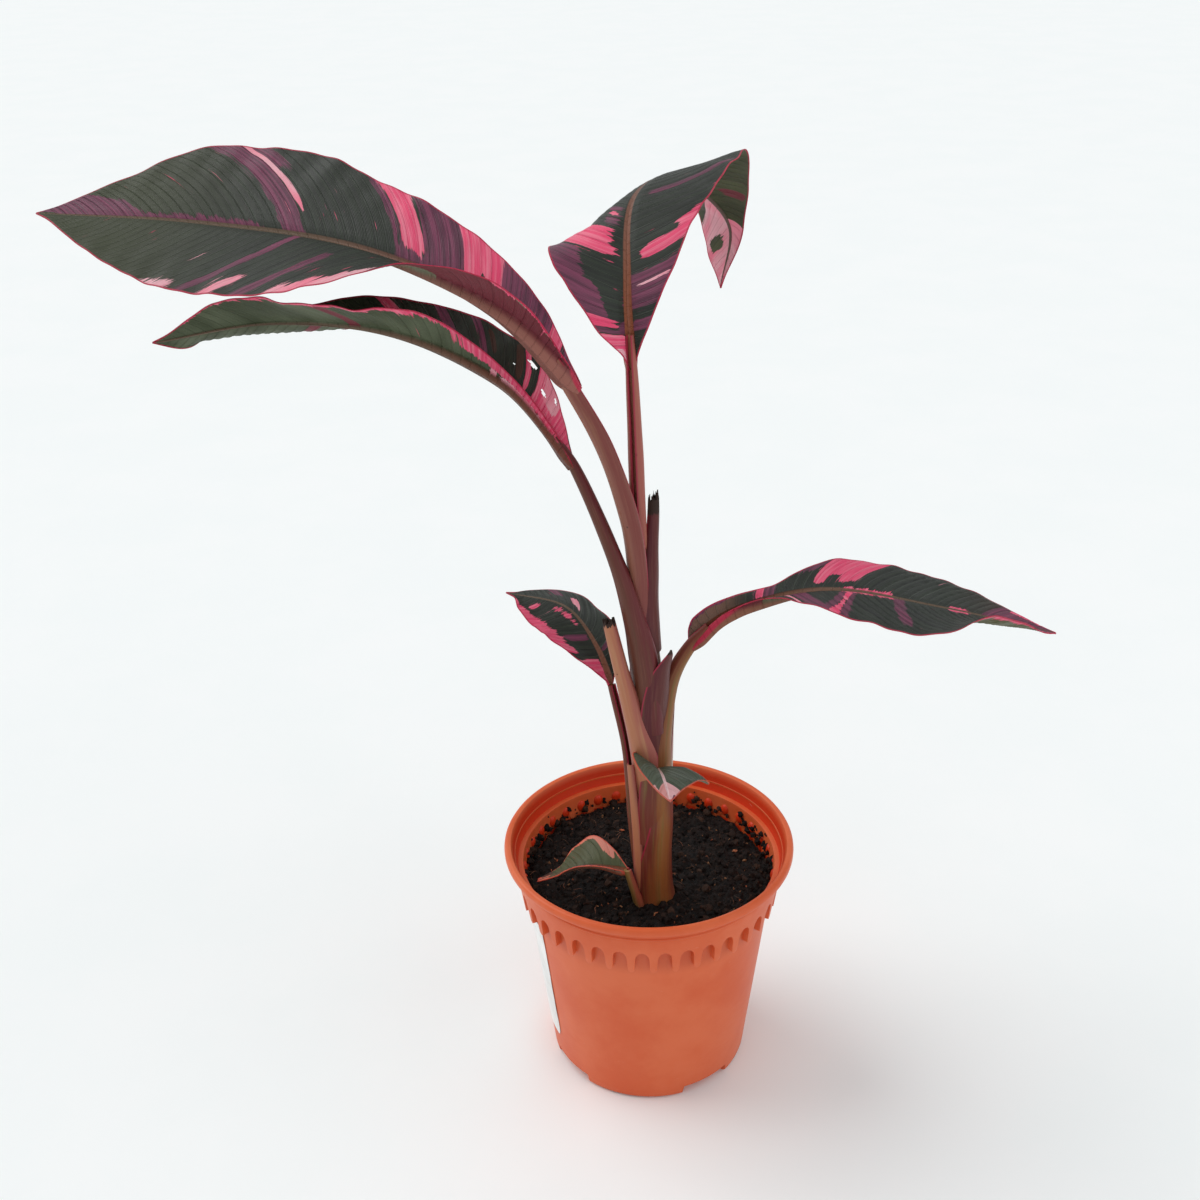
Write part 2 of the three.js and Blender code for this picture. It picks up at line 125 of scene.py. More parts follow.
class Spine:
    """A smooth curve through chosen points, read by the share of its length.

    Args:
        points: The points that the curve passes, in millimetres.
    """

    STEPS = 24

    def __init__(self, points: Rows) -> None:
        """Draws the curve as a fine line and measures the way along it."""
        chosen = np.array([point[:3] for point in points], float)
        ends = [2 * chosen[0] - chosen[1], *chosen, 2 * chosen[-1] - chosen[-2]]
        line = [chosen[0]]
        for p0, p1, p2, p3 in zip(ends, ends[1:], ends[2:], ends[3:]):
            line.extend(self._stretch(p0, p1, p2, p3))
        self.line = np.array(line)
        run = np.linalg.norm(np.diff(self.line, axis=0), axis=1)
        self.run = np.concatenate([[0], np.cumsum(run)])
        self.length = float(self.run[-1])
        self.knots = self.run[:: self.STEPS] / self.length

    def _stretch(self, p0: np.ndarray, p1: np.ndarray, p2: np.ndarray, p3: np.ndarray) -> np.ndarray:
        """Gives the points of one stretch, from p1 to p2, of a centripetal Catmull-Rom curve."""
        gap0, gap1, gap2 = (math.sqrt(np.linalg.norm(b - a)) for a, b in ((p0, p1), (p1, p2), (p2, p3)))
        leave = ((p1 - p0) / gap0 - (p2 - p0) / (gap0 + gap1) + (p2 - p1) / gap1) * gap1
        meet = ((p2 - p1) / gap1 - (p3 - p1) / (gap1 + gap2) + (p3 - p2) / gap2) * gap1
        t = np.arange(1, self.STEPS + 1)[:, None] / self.STEPS
        cubic = 2 * p1 - 2 * p2 + leave + meet
        square = -3 * p1 + 3 * p2 - 2 * leave - meet
        return p1 + leave * t + square * t**2 + cubic * t**3

    def at(self, places: np.ndarray) -> np.ndarray:
        """Gives the points at the given shares of the length."""
        return np.stack([np.interp(places * self.length, self.run, self.line[:, k]) for k in range(3)], -1)

    def frames(self, places: np.ndarray, facing: Sequence[float]) -> tuple[np.ndarray, ...]:
        """Walks along the curve with a frame that turns as little as it can.

        Args:
            places: Shares of the length, in rising order from 0.
            facing: Where the frame faces at the start.

        Returns:
            The centres, tangents, right vectors and facing vectors.
        """
        centres = self.at(places)
        tangents = np.gradient(centres, axis=0)
        tangents /= np.linalg.norm(tangents, axis=1, keepdims=True)
        right = np.cross(tangents[0], np.array(facing, float))
        rights = []
        for tangent in tangents:
            right = right - tangent * np.dot(right, tangent)
            right = right / np.linalg.norm(right)
            rights.append(right)
        rights = np.array(rights)
        return centres, tangents, rights, np.cross(rights, tangents)


# ---------------------------------------------------------------- modelling


def select_only(piece: bpy.types.Object) -> None:
    """Selects one object, makes it the active one and leaves everything else unselected."""
    bpy.ops.object.select_all(action="DESELECT")
    piece.select_set(True)
    bpy.context.view_layer.objects.active = piece


def in_edit_mode(piece: bpy.types.Object, work: Callable[[], None]) -> None:
    """Runs modelling steps on a piece in edit mode, with all of it selected."""
    select_only(piece)
    bpy.ops.object.mode_set(mode="EDIT")
    bpy.ops.mesh.select_all(action="SELECT")
    work()
    bpy.ops.object.mode_set(mode="OBJECT")


def apply_modifier(piece: bpy.types.Object, kind: str, **settings: object) -> None:
    """Adds a modifier to a piece, sets it and applies it."""
    select_only(piece)
    bpy.ops.object.modifier_add(type=kind)
    modifier = piece.modifiers[-1]
    for name, value in settings.items():
        setattr(modifier, name, value)
    bpy.ops.object.modifier_apply(modifier=modifier.name)


def smooth(piece: bpy.types.Object, degrees: float = 40) -> None:
    """Shades a piece smooth, but for edges that are sharper than an angle."""
    select_only(piece)
    bpy.ops.object.shade_smooth_by_angle(angle=math.radians(degrees))


def place_points(piece: bpy.types.Object, points: np.ndarray) -> None:
    """Writes a piece's points, given in millimetres."""
    piece.data.vertices.foreach_set("co", (points * MM).astype(np.float32).ravel())
    piece.data.update()


def read_points(piece: bpy.types.Object) -> np.ndarray:
    """Reads a piece's points, in millimetres."""
    flat = np.empty(len(piece.data.vertices) * 3, np.float32)
    piece.data.vertices.foreach_get("co", flat)
    return flat.reshape(-1, 3) / MM


def note(piece: bpy.types.Object, name: str, values: np.ndarray) -> None:
    """Stores a value, vector or colour for each point of a piece, for its shader to read.

    Args:
        piece: The piece to mark.
        name: The attribute's name.
        values: One number, three numbers or four numbers for each point.
    """
    kinds = {1: ("FLOAT", "value"), 3: ("FLOAT_VECTOR", "vector"), 4: ("FLOAT_COLOR", "color")}
    flat = np.asarray(values, np.float32).reshape(len(piece.data.vertices), -1)
    kind, key = kinds[flat.shape[1]]
    attribute = piece.data.attributes.get(name) or piece.data.attributes.new(name, kind, "POINT")
    attribute.data.foreach_set(key, flat.ravel())


def noted(piece: bpy.types.Object, name: str, width: int = 1) -> np.ndarray:
    """Reads back what note() stored."""
    key = {1: "value", 3: "vector", 4: "color"}[width]
    flat = np.empty(len(piece.data.vertices) * width, np.float32)
    piece.data.attributes[name].data.foreach_get(key, flat)
    return flat.reshape(-1, width) if width > 1 else flat


def add_grid(name: str, points: np.ndarray) -> bpy.types.Object:
    """Starts a piece from a grid whose rows and columns take the given places.

    Args:
        name: The piece's name.
        points: Places in millimetres, by row, column and axis. The face looks to columns x rows.

    Returns:
        The piece.
    """
    rows, columns = points.shape[:2]
    bpy.ops.object.select_all(action="DESELECT")
    bpy.ops.mesh.primitive_grid_add(x_subdivisions=columns - 1, y_subdivisions=rows - 1, size=1)
    piece = bpy.context.object
    piece.name = name
    piece.data.name = name
    place_points(piece, points.reshape(-1, 3))
    return piece


def thicken(piece: bpy.types.Object, down: np.ndarray) -> int:
    """Gives a sheet its thickness, so that it is one closed shell.

    Args:
        piece: The sheet, whose points are its upper skin.
        down: For each point, the way from the upper skin to the lower one, in millimetres.

    Returns:
        The number of points in the upper skin, which come first.
    """
    upper = len(piece.data.vertices)
    apply_modifier(piece, "SOLIDIFY", thickness=MM, offset=-1)
    points = read_points(piece)
    points[upper:] = points_of(piece, points, upper) + down
    place_points(piece, points)
    return upper


def points_of(piece: bpy.types.Object, points: np.ndarray, upper: int) -> np.ndarray:
    """Gives the upper skin's points for the lower skin's points, which are their copies in order."""
    return points[: len(piece.data.vertices) - upper]


def seal(piece: bpy.types.Object, distance: float = 0.01) -> None:
    """Merges points that meet and turns every face outwards."""

    def work() -> None:
        """Merges and turns what is selected."""
        bpy.ops.mesh.remove_doubles(threshold=distance * MM)
        bpy.ops.mesh.normals_make_consistent(inside=False)

    in_edit_mode(piece, work)


def scatter(name: str, shape: bpy.types.Object, places: Iterable[Matrix]) -> bpy.types.Object:
    """Copies one small shape to many places and joins the copies into a piece.

    Args:
        name: The joined piece's name.
        shape: The shape to copy, which is used up.
        places: Where each copy goes, in metres.

    Returns:
        The joined piece.
    """
    flat = np.empty(len(shape.data.vertices) * 3, np.float32)
    shape.data.vertices.foreach_get("co", flat)
    corners = np.c_[flat.reshape(-1, 3), np.ones(len(shape.data.vertices))]
    faces = [list(face.vertices) for face in shape.data.polygons]
    every_point: list[np.ndarray] = []
    every_face: list[list[int]] = []
    shares: list[float] = []
    dice = random.Random(name)
    for count, place in enumerate(places):
        every_point.append((corners @ np.array(place).T)[:, :3])
        every_face.extend([index + count * len(corners) for index in face] for face in faces)
        shares.extend([dice.random()] * len(corners))
    mesh = bpy.data.meshes.new(name)
    mesh.from_pydata(np.vstack(every_point).tolist(), [], every_face)
    piece = bpy.data.objects.new(name, mesh)
    bpy.context.scene.collection.objects.link(piece)
    bpy.data.objects.remove(shape)
    note(piece, "share", np.array(shares))
    smooth(piece, 60)
    return piece


# ---------------------------------------------------------------- shader graphs


class Graph:
    """Adds and joins the nodes of one shader tree.

    Args:
        tree: The node tree to work in.
    """

    def __init__(self, tree: bpy.types.NodeTree) -> None:
        """Keeps the node tree to work in."""
        self.tree = tree

    def add(
        self, kind: str, feeds: Mapping[object, object] | None = None, **settings: object
    ) -> bpy.types.Node:
        """Adds a node, sets its properties and feeds its sockets with values or other sockets."""
        made = self.tree.nodes.new(kind)
        for name, value in settings.items():
            setattr(made, name, value)
        for key, value in (feeds or {}).items():
            self.feed(made.inputs[key], value)
        return made

    def feed(self, socket: bpy.types.NodeSocket, value: object) -> None:
        """Joins a socket to another one, or sets its own value."""
        if isinstance(value, bpy.types.NodeSocket):
            self.tree.links.new(value, socket)
        else:
            socket.default_value = value

    def maths(self, operation: str, *values: object, clamp: bool = False) -> bpy.types.NodeSocket:
        """Works out a sum of one, two or three values."""
        feeds = dict(enumerate(values))
        return self.add("ShaderNodeMath", feeds, operation=operation, use_clamp=clamp).outputs[0]

    def ramp(
        self, value: object, low: object, high: object, start: float = 0, end: float = 1
    ) -> bpy.types.NodeSocket:
        """Runs smoothly from start to end as the value goes from low to high."""
        feeds = {"Value": value, "From Min": low, "From Max": high, "To Min": start, "To Max": end}
        return self.add("ShaderNodeMapRange", feeds, interpolation_type="SMOOTHSTEP").outputs[0]

    def blend(self, factor: object, first: object, second: object, mode: str = "MIX") -> bpy.types.NodeSocket:
        """Mixes two colours."""
        feeds = {0: factor, 6: first, 7: second}
        return self.add("ShaderNodeMix", feeds, data_type="RGBA", blend_type=mode).outputs[2]

    def noise(
        self, vector: object, scale: float, detail: float = 3, rough: float = 0.55
    ) -> bpy.types.NodeSocket:
        """Gives soft noise from 0 to 1."""
        feeds = {"Vector": vector, "Scale": scale, "Detail": detail, "Roughness": rough}
        return self.add("ShaderNodeTexNoise", feeds).outputs["Fac"]

    def stretch(self, vector: object, scale: Colour) -> bpy.types.NodeSocket:
        """Scales a vector by axis."""
        return self.add("ShaderNodeMapping", {"Vector": vector, "Scale": scale}).outputs[0]

    def attribute(self, name: str, output: str = "Fac") -> bpy.types.NodeSocket:
        """Reads what a piece has noted for each point."""
        return self.add("ShaderNodeAttribute", attribute_name=name).outputs[output]

    def objects(self) -> bpy.types.NodeSocket:
        """Gives the place on the piece in its own frame, in metres."""
        return self.add("ShaderNodeTexCoord").outputs["Object"]

    def split(self, vector: object, colour: bool = False) -> Sequence[bpy.types.NodeSocket]:
        """Splits a vector or a colour into its three numbers."""
        kind = "ShaderNodeSeparateColor" if colour else "ShaderNodeSeparateXYZ"
        return self.add(kind, {0: vector}).outputs

    def group(self, tree: bpy.types.NodeTree, feeds: Mapping[str, object]) -> bpy.types.Node:
        """Places a shared effect with its own values."""
        placed = self.add("ShaderNodeGroup")
        placed.node_tree = tree
        for key, value in feeds.items():
            self.feed(placed.inputs[key], value)
        return placed

    def bump(self, height: object, distance: float, strength: float = 1.0) -> bpy.types.NodeSocket:
        """Turns a height into a normal."""
        feeds = {"Height": height, "Distance": distance, "Strength": strength}
        return self.add("ShaderNodeBump", feeds).outputs[0]


@dataclass(frozen=True)
class Effect:
    """A shared shader node group: its sockets and the way that its inside is built."""

    name: str
    inputs: Mapping[str, tuple[str, object]]
    outputs: Mapping[str, str]
    build: Callable[[Graph, Mapping[str, bpy.types.NodeSocket]], Mapping[str, bpy.types.NodeSocket]]

    def tree(self) -> bpy.types.NodeTree:
        """Gives the node group, built the first time that it is asked for."""
        found = bpy.data.node_groups.get(self.name)
        if found:
            return found
        tree = bpy.data.node_groups.new(self.name, "ShaderNodeTree")
        for name, (kind, value) in self.inputs.items():
            socket = tree.interface.new_socket(name, in_out="INPUT", socket_type=kind)
            if value is not None:
                socket.default_value = value
        for name, kind in self.outputs.items():
            tree.interface.new_socket(name, in_out="OUTPUT", socket_type=kind)
        graph = Graph(tree)
        entry = graph.add("NodeGroupInput")
        results = self.build(graph, {name: entry.outputs[name] for name in self.inputs})
        graph.add("NodeGroupOutput", results)
        return tree


FLOAT, VECTOR, COLOUR = "NodeSocketFloat", "NodeSocketVector", "NodeSocketColor"


def _ragged(graph: Graph, given: Mapping[str, bpy.types.NodeSocket]) -> Mapping[str, bpy.types.NodeSocket]:
    """Breaks a soft level into a mask whose edge frays along the veins."""
    broad = graph.noise(graph.stretch(given["Flow"], (0.2, 0.02, 1)), 1, 4, 0.65)
    fine = graph.noise(graph.stretch(given["Flow"], (1.1, 0.05, 1)), 1, 2, 0.5)
    mixed = graph.maths(
        "MULTIPLY_ADD", graph.maths("SUBTRACT", fine, 0.5), 0.5, graph.maths("SUBTRACT", broad, 0.5)
    )
    level = graph.maths("MULTIPLY_ADD", mixed, given["Fray"], given["Level"])
    low = graph.maths("SUBTRACT", 0.5, given["Soft"])
    high = graph.maths("ADD", 0.5, given["Soft"])
    return {"Mask": graph.ramp(level, low, high)}


RAGGED = Effect(
    "ragged_edge",
    {"Level": (FLOAT, 0.0), "Flow": (VECTOR, None), "Fray": (FLOAT, 0.9), "Soft": (FLOAT, 0.05)},
    {"Mask": FLOAT},
    _ragged,
)


def _veins(graph: Graph, given: Mapping[str, bpy.types.NodeSocket]) -> Mapping[str, bpy.types.NodeSocket]:
    """Draws the side veins and the fine parallel veins between them."""
    place = graph.split(given["Flow"])[0]
    half = graph.maths("MULTIPLY", given["Pitch"], 0.5)
    away = graph.maths("PINGPONG", place, half)
    line = graph.ramp(away, 0.0, 0.5, 1, 0)
    fine = graph.ramp(graph.maths("PINGPONG", place, 0.45), 0.0, 0.3, 1, 0)
    height = graph.maths("MULTIPLY_ADD", fine, 0.25, line)
    return {"Line": line, "Fine": fine, "Height": height}


VEINS = Effect(
    "side_veins",
    {"Flow": (VECTOR, None), "Pitch": (FLOAT, 6.0)},
    {"Line": FLOAT, "Fine": FLOAT, "Height": FLOAT},
    _veins,
)


def _mottle(graph: Graph, given: Mapping[str, bpy.types.NodeSocket]) -> Mapping[str, bpy.types.NodeSocket]:
    """Clouds one colour with another."""
    feeds = {"Vector": given["Place"], "Scale": given["Scale"], "Detail": 5.0, "Roughness": 0.6}
    cloud = graph.add("ShaderNodeTexNoise", feeds).outputs["Fac"]
    value = graph.ramp(cloud, 0.35, 0.68)
    return {"Colour": graph.blend(value, given["Dark"], given["Light"]), "Value": value}


MOTTLE = Effect(
    "mottle",
    {
        "Place": (VECTOR, None),
        "Scale": (FLOAT, 10.0),
        "Dark": (COLOUR, (0.1, 0.1, 0.1, 1)),
        "Light": (COLOUR, (0.5, 0.5, 0.5, 1)),
    },
    {"Colour": COLOUR, "Value": FLOAT},
    _mottle,
)


def _specks(graph: Graph, given: Mapping[str, bpy.types.NodeSocket]) -> Mapping[str, bpy.types.NodeSocket]:
    """Sprinkles small round specks of uneven size."""
    feeds = {"Vector": given["Place"], "Scale": given["Scale"]}
    cells = graph.add("ShaderNodeTexVoronoi", feeds)
    luck = graph.split(cells.outputs["Color"], colour=True)[0]
    size = graph.ramp(luck, graph.maths("SUBTRACT", 1.0, given["Share"]), 1.0, 0.0, 0.22)
    edge = graph.maths("MULTIPLY", size, 0.6)
    return {"Mask": graph.ramp(cells.outputs["Distance"], edge, graph.maths("ADD", size, 0.001), 1, 0)}


SPECKS = Effect(
    "specks",
    {"Place": (VECTOR, None), "Scale": (FLOAT, 100.0), "Share": (FLOAT, 0.1)},
    {"Mask": FLOAT},
    _specks,
)


class Finish:
    """A finish that makes one material, which its pieces share."""

    name = "finish"

    def dress(self, piece: bpy.types.Object) -> None:
        """Gives a piece this finish."""
        title = f"{self.name}_finish"
        material = bpy.data.materials.get(title)
        if material is None:
            material = bpy.data.materials.new(title)
            material.use_nodes = True
            graph = Graph(material.node_tree)
            self.shade(graph, material.node_tree.nodes["Principled BSDF"].inputs)
        piece.data.materials.clear()
        piece.data.materials.append(material)

    def shade(self, graph: Graph, skin: bpy.types.NodeInputs) -> None:
        """Builds the nodes that feed the surface's sockets."""
        raise NotImplementedError


@dataclass(frozen=True)
class LeafFinish(Finish):
    """Variegated blade skin: green ground, sectors of mauve and pinks, midrib and red margin."""

    name: str = "leaf_blade"
    green: tuple = screen(38, 48, 35)
    deep: tuple = screen(22, 27, 23)
    olive: tuple = screen(58, 66, 26)
    under: tuple = screen(104, 108, 78)
    under_light: tuple = screen(122, 122, 104)
    mauve: tuple = screen(128, 58, 88)
    plum: tuple = screen(86, 40, 62)
    hot: tuple = screen(236, 66, 112)
    rose: tuple = screen(244, 128, 152)
    pale: tuple = screen(240, 178, 188)
    margin: tuple = screen(186, 28, 66)
    rib_base: tuple = screen(150, 92, 74)
    rib_tip: tuple = screen(104, 84, 66)
    burn: tuple = screen(70, 44, 32)
    pitch: float = 6.0

    def shade(self, graph: Graph, skin: bpy.types.NodeInputs) -> None:
        """Lays the ground colour first and then each tint over it."""
        flow = graph.attribute("flow", "Vector")
        hot, mauve, pale = graph.split(graph.attribute("tint", "Color"), colour=True)[:3]
        under = graph.attribute("under")
        veins = graph.group(VEINS.tree(), {"Flow": flow, "Pitch": self.pitch}).outputs
        streak = graph.noise(graph.stretch(flow, (0.5, 0.02, 1)), 1, 4, 0.6)
        cloud = graph.noise(graph.stretch(flow, (0.05, 0.03, 1)), 1, 2, 0.5)

        ground = graph.blend(graph.ramp(streak, 0.3, 0.7), self.deep, self.green)
        ground = graph.blend(graph.attribute("olive"), ground, self.olive)
        ground = graph.blend(graph.maths("MULTIPLY", veins["Line"], 0.24), ground, screen(96, 106, 92))
        below = graph.blend(graph.ramp(cloud, 0.3, 0.7), self.under, self.under_light)
        ground = graph.blend(under, ground, below)

        masks = {}
        for key, level, fray in (("mauve", mauve, 1.9), ("hot", hot, 2.1), ("pale", pale, 1.9)):
            shift = graph.add("ShaderNodeVectorMath", {0: flow, 1: (0, 0, 7.0 * len(masks))}).outputs[0]
            feeds = {"Level": level, "Flow": shift, "Fray": fray, "Soft": 0.05}
            masks[key] = graph.group(RAGGED.tree(), feeds).outputs[0]
        purple = graph.blend(graph.ramp(streak, 0.35, 0.66), self.plum, self.mauve)
        purple = graph.blend(graph.maths("MULTIPLY", under, 0.85), purple, screen(112, 36, 42))
        pink = graph.blend(graph.ramp(streak, 0.38, 0.72), self.hot, self.rose)
        light = graph.blend(graph.ramp(cloud, 0.35, 0.7), self.pale, self.rose)
        colour = graph.blend(masks["mauve"], ground, purple)
        colour = graph.blend(masks["hot"], colour, pink)
        colour = graph.blend(masks["pale"], colour, light)
        colour = graph.blend(graph.maths("MULTIPLY", veins["Fine"], 0.10), colour, screen(70, 40, 50))

        rib = graph.ramp(graph.attribute("rib"), 0.7, 1.1, 1, 0)
        along = graph.attribute("along")
        rib_colour = graph.blend(graph.ramp(along, 0.05, 0.6), self.rib_base, self.rib_tip)
        colour = graph.blend(rib, colour, rib_colour)
        edge = graph.ramp(graph.attribute("edge"), 0.45, 1.15, 1, 0)
        colour = graph.blend(graph.maths("MULTIPLY", edge, 0.9), colour, self.margin)
        scar_feeds = {"Level": graph.attribute("scar"), "Flow": flow, "Fray": 0.6, "Soft": 0.08}
        scar = graph.group(RAGGED.tree(), scar_feeds)
        colour = graph.blend(scar.outputs[0], colour, self.burn)
        graph.feed(skin["Base Color"], colour)

        gloss = graph.ramp(cloud, 0.2, 0.8, 0.36, 0.5)
        graph.feed(skin["Roughness"], graph.maths("MULTIPLY_ADD", under, 0.14, gloss))
        pores = graph.noise(graph.stretch(flow, (1.6, 1.6, 1)), 1, 3, 0.6)
        height = graph.maths("MULTIPLY_ADD", pores, 0.3, veins["Height"])
        graph.feed(skin["Normal"], graph.bump(height, 0.0005, 0.8))
        skin["Specular IOR Level"].default_value = 0.38


@dataclass(frozen=True)
class StalkFinish(Finish):
    """Skin of leaf stalks and the sheaths under them: long streaks, freckles and a thin red margin."""

    name: str = "stalk"
    back: tuple = screen(142, 92, 78)
    flank: tuple = screen(120, 56, 54)
    streak: tuple = screen(150, 112, 70)
    margin: tuple = screen(160, 34, 62)
    dried: tuple = screen(52, 36, 30)

    def shade(self, graph: Graph, skin: bpy.types.NodeInputs) -> None:
        """Shades across the stalk, then streaks, freckles, margin and dried ends."""
        flow = graph.attribute("flow", "Vector")
        turn = graph.attribute("turn")
        long = graph.noise(graph.stretch(flow, (0.22, 0.012, 1)), 1, 4, 0.55)
        fine = graph.noise(graph.stretch(flow, (1.2, 0.03, 1)), 1, 3, 0.6)
        across = graph.maths(
            "MULTIPLY_ADD", graph.maths("SUBTRACT", long, 0.5), 0.8, graph.maths("ABSOLUTE", turn)
        )
        colour = graph.blend(graph.ramp(across, 0.05, 0.6), self.back, self.flank)
        colour = graph.blend(graph.ramp(long, 0.52, 0.74, 0, 0.7), colour, self.streak)
        colour = graph.blend(graph.ramp(fine, 0.45, 0.75, 0, 0.10), colour, screen(190, 140, 116))
        freckles = graph.group(SPECKS.tree(), {"Place": flow, "Scale": 0.16, "Share": 0.10}).outputs[0]
        colour = graph.blend(graph.maths("MULTIPLY", freckles, 0.75), colour, screen(60, 24, 26))
        edge = graph.ramp(graph.attribute("edge"), 0.5, 1.3, 1, 0)
        colour = graph.blend(graph.maths("MULTIPLY", edge, 0.85), colour, self.margin)
        dry_feeds = {"Level": graph.attribute("dry"), "Flow": flow, "Fray": 0.7, "Soft": 0.1}
        dry = graph.group(RAGGED.tree(), dry_feeds)
        colour = graph.blend(dry.outputs[0], colour, self.dried)
        graph.feed(skin["Base Color"], colour)
        dull = graph.maths("MULTIPLY_ADD", dry.outputs[0], 0.35, graph.ramp(fine, 0.2, 0.8, 0.36, 0.5))
        graph.feed(skin["Roughness"], dull)
        height = graph.maths("MULTIPLY_ADD", long, 0.8, fine)
        graph.feed(skin["Normal"], graph.bump(height, 0.00035, 0.5))
        skin["Specular IOR Level"].default_value = 0.3


@dataclass(frozen=True)
class PlasticFinish(Finish):
    """Thin terracotta-coloured moulded plastic, stronger in colour on the inside, with scuffs and dust, and
    painted shade in the niches under the collar.
    """

    name: str = "pot_plastic"
    outer: tuple = screen(216, 92, 46)
    faded: tuple = screen(224, 108, 64)
    inner: tuple = screen(214, 56, 18)
    dust: tuple = screen(232, 196, 176)

    def shade(self, graph: Graph, skin: bpy.types.NodeInputs) -> None:
        """Shades the moulded wall inside and out."""
        place = graph.objects()
        feeds = {"Place": place, "Scale": 16.0, "Dark": self.outer, "Light": self.faded}
        clouds = graph.group(MOTTLE.tree(), feeds).outputs
        colour = graph.blend(graph.attribute("inner"), clouds["Colour"], self.inner)
        scuff = graph.noise(graph.stretch(place, (1, 1, 7)), 90, 4, 0.7)
        worn = graph.ramp(scuff, 0.66, 0.82, 0, 0.35)
        colour = graph.blend(worn, colour, self.dust)
        specks = graph.group(SPECKS.tree(), {"Place": place, "Scale": 55.0, "Share": 0.05}).outputs[0]
        colour = graph.blend(graph.maths("MULTIPLY", specks, 0.5), colour, screen(150, 60, 34))
        # Painted shade: the wall seen in the collar's niches is darkened towards a deeper orange, so that the
        # fingers stand out.
        painted_niche_shade = graph.maths("MULTIPLY", graph.attribute("deep"), 0.22)
        colour = graph.blend(painted_niche_shade, colour, screen(158, 58, 28))
        graph.feed(skin["Base Color"], colour)
        grit = graph.noise(place, 900, 2, 0.5)
        graph.feed(skin["Roughness"], graph.maths("MULTIPLY_ADD", scuff, 0.16, 0.34))
        relief = graph.maths("MULTIPLY_ADD", grit, 0.2, clouds["Value"])
        graph.feed(skin["Normal"], graph.bump(relief, 0.0002, 0.25))
        skin["Specular IOR Level"].default_value = 0.35


@dataclass(frozen=True)
class PaperFinish(Finish):
    """A blank white stick-on label with faint fibre and handling marks."""

    name: str = "label_paper"

    def shade(self, graph: Graph, skin: bpy.types.NodeInputs) -> None:
        """Shades white paper with a faint grey cloud."""
        place = graph.objects()
        feeds = {"Place": place, "Scale": 40.0, "Dark": screen(232, 232, 230), "Light": screen(250, 250, 249)}
        clouds = graph.group(MOTTLE.tree(), feeds).outputs
        creases = graph.noise(graph.stretch(place, (1, 1, 0.2)), 260, 3, 0.7)
        colour = graph.blend(graph.ramp(creases, 0.66, 0.78, 0, 0.3), clouds["Colour"], screen(196, 196, 194))
        graph.feed(skin["Base Color"], colour)
        graph.feed(skin["Roughness"], graph.maths("MULTIPLY_ADD", creases, 0.2, 0.4))
        graph.feed(skin["Normal"], graph.bump(creases, 0.0001, 0.4))


@dataclass(frozen=True)
class SoilFinish(Finish):
    """Dark, moist compost, and its crumbs, chips and fibres, which vary by share."""

    name: str = "compost"
    dark: tuple = screen(12, 8, 7)
    light: tuple = screen(38, 27, 23)
    bits: tuple = screen(70, 48, 36)
    scale: float = 260.0
    gloss: float = 0.62

    def shade(self, graph: Graph, skin: bpy.types.NodeInputs) -> None:
        """Clouds dark and light and sprinkles bits."""
        place = graph.objects()
        feeds = {"Place": place, "Scale": self.scale, "Dark": self.dark, "Light": self.light}
        clouds = graph.group(MOTTLE.tree(), feeds).outputs
        share = graph.ramp(graph.attribute("share"), 0.55, 1.0, 0, 0.85)
        colour = graph.blend(share, clouds["Colour"], self.bits)
        specks = graph.group(SPECKS.tree(), {"Place": place, "Scale": 420.0, "Share": 0.12}).outputs[0]
        colour = graph.blend(graph.maths("MULTIPLY", specks, 0.5), colour, self.bits)
        graph.feed(skin["Base Color"], colour)
        graph.feed(skin["Roughness"], graph.ramp(clouds["Value"], 0, 1, self.gloss - 0.2, self.gloss + 0.2))
        grains = graph.noise(place, 1500, 4, 0.7)
        graph.feed(skin["Normal"], graph.bump(grains, 0.0012, 0.9))
        skin["Specular IOR Level"].default_value = 0.2


@dataclass(frozen=True)
class FloorFinish(Finish):
    """The plain pale floor."""

    name: str = "floor"
    tone: tuple = screen(246, 249, 249)

    def shade(self, graph: Graph, skin: bpy.types.NodeInputs) -> None:
        """Shades a matt floor with the faintest unevenness."""
        feeds = {"Place": graph.objects(), "Scale": 6.0, "Dark": self.tone, "Light": screen(248, 250, 250)}
        graph.feed(skin["Base Color"], graph.group(MOTTLE.tree(), feeds).outputs["Colour"])
        skin["Roughness"].default_value = 0.9
        skin["Specular IOR Level"].default_value = 0.1


# ---------------------------------------------------------------- hand-over to the frame


def hand_over(piece: bpy.types.Object, slot: str, nodes: Sequence[str], finish: Finish) -> None:
    """Dresses a finished piece and fixes it to the frame.

    Args:
        piece: The piece, placed in the frame.
        slot: The record's material slot. Not used.
        nodes: The frame's nodes that it stands for.
        finish: What it is dressed in.
    """
    finish.dress(piece)
    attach(piece, BODY)
    if nodes:
        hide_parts(*nodes)
    faces = sum(len(face.vertices) - 2 for face in piece.data.polygons)
    LOG.info("%s: %d triangles, for %s", piece.name, faces, ", ".join(nodes) or "no node of its own")


# ---------------------------------------------------------------- leaves


class Side(Enum):
    """The halves of a blade, seen from its base with the upper face up."""

    LEFT = -1
    RIGHT = 1
    BOTH = 0


class Tint(Enum):
    """What a patch of a blade is coloured with. The value is its channel, and GREEN takes tints away."""

    HOT = 0
    MAUVE = 1
    PALE = 2
    GREEN = 3


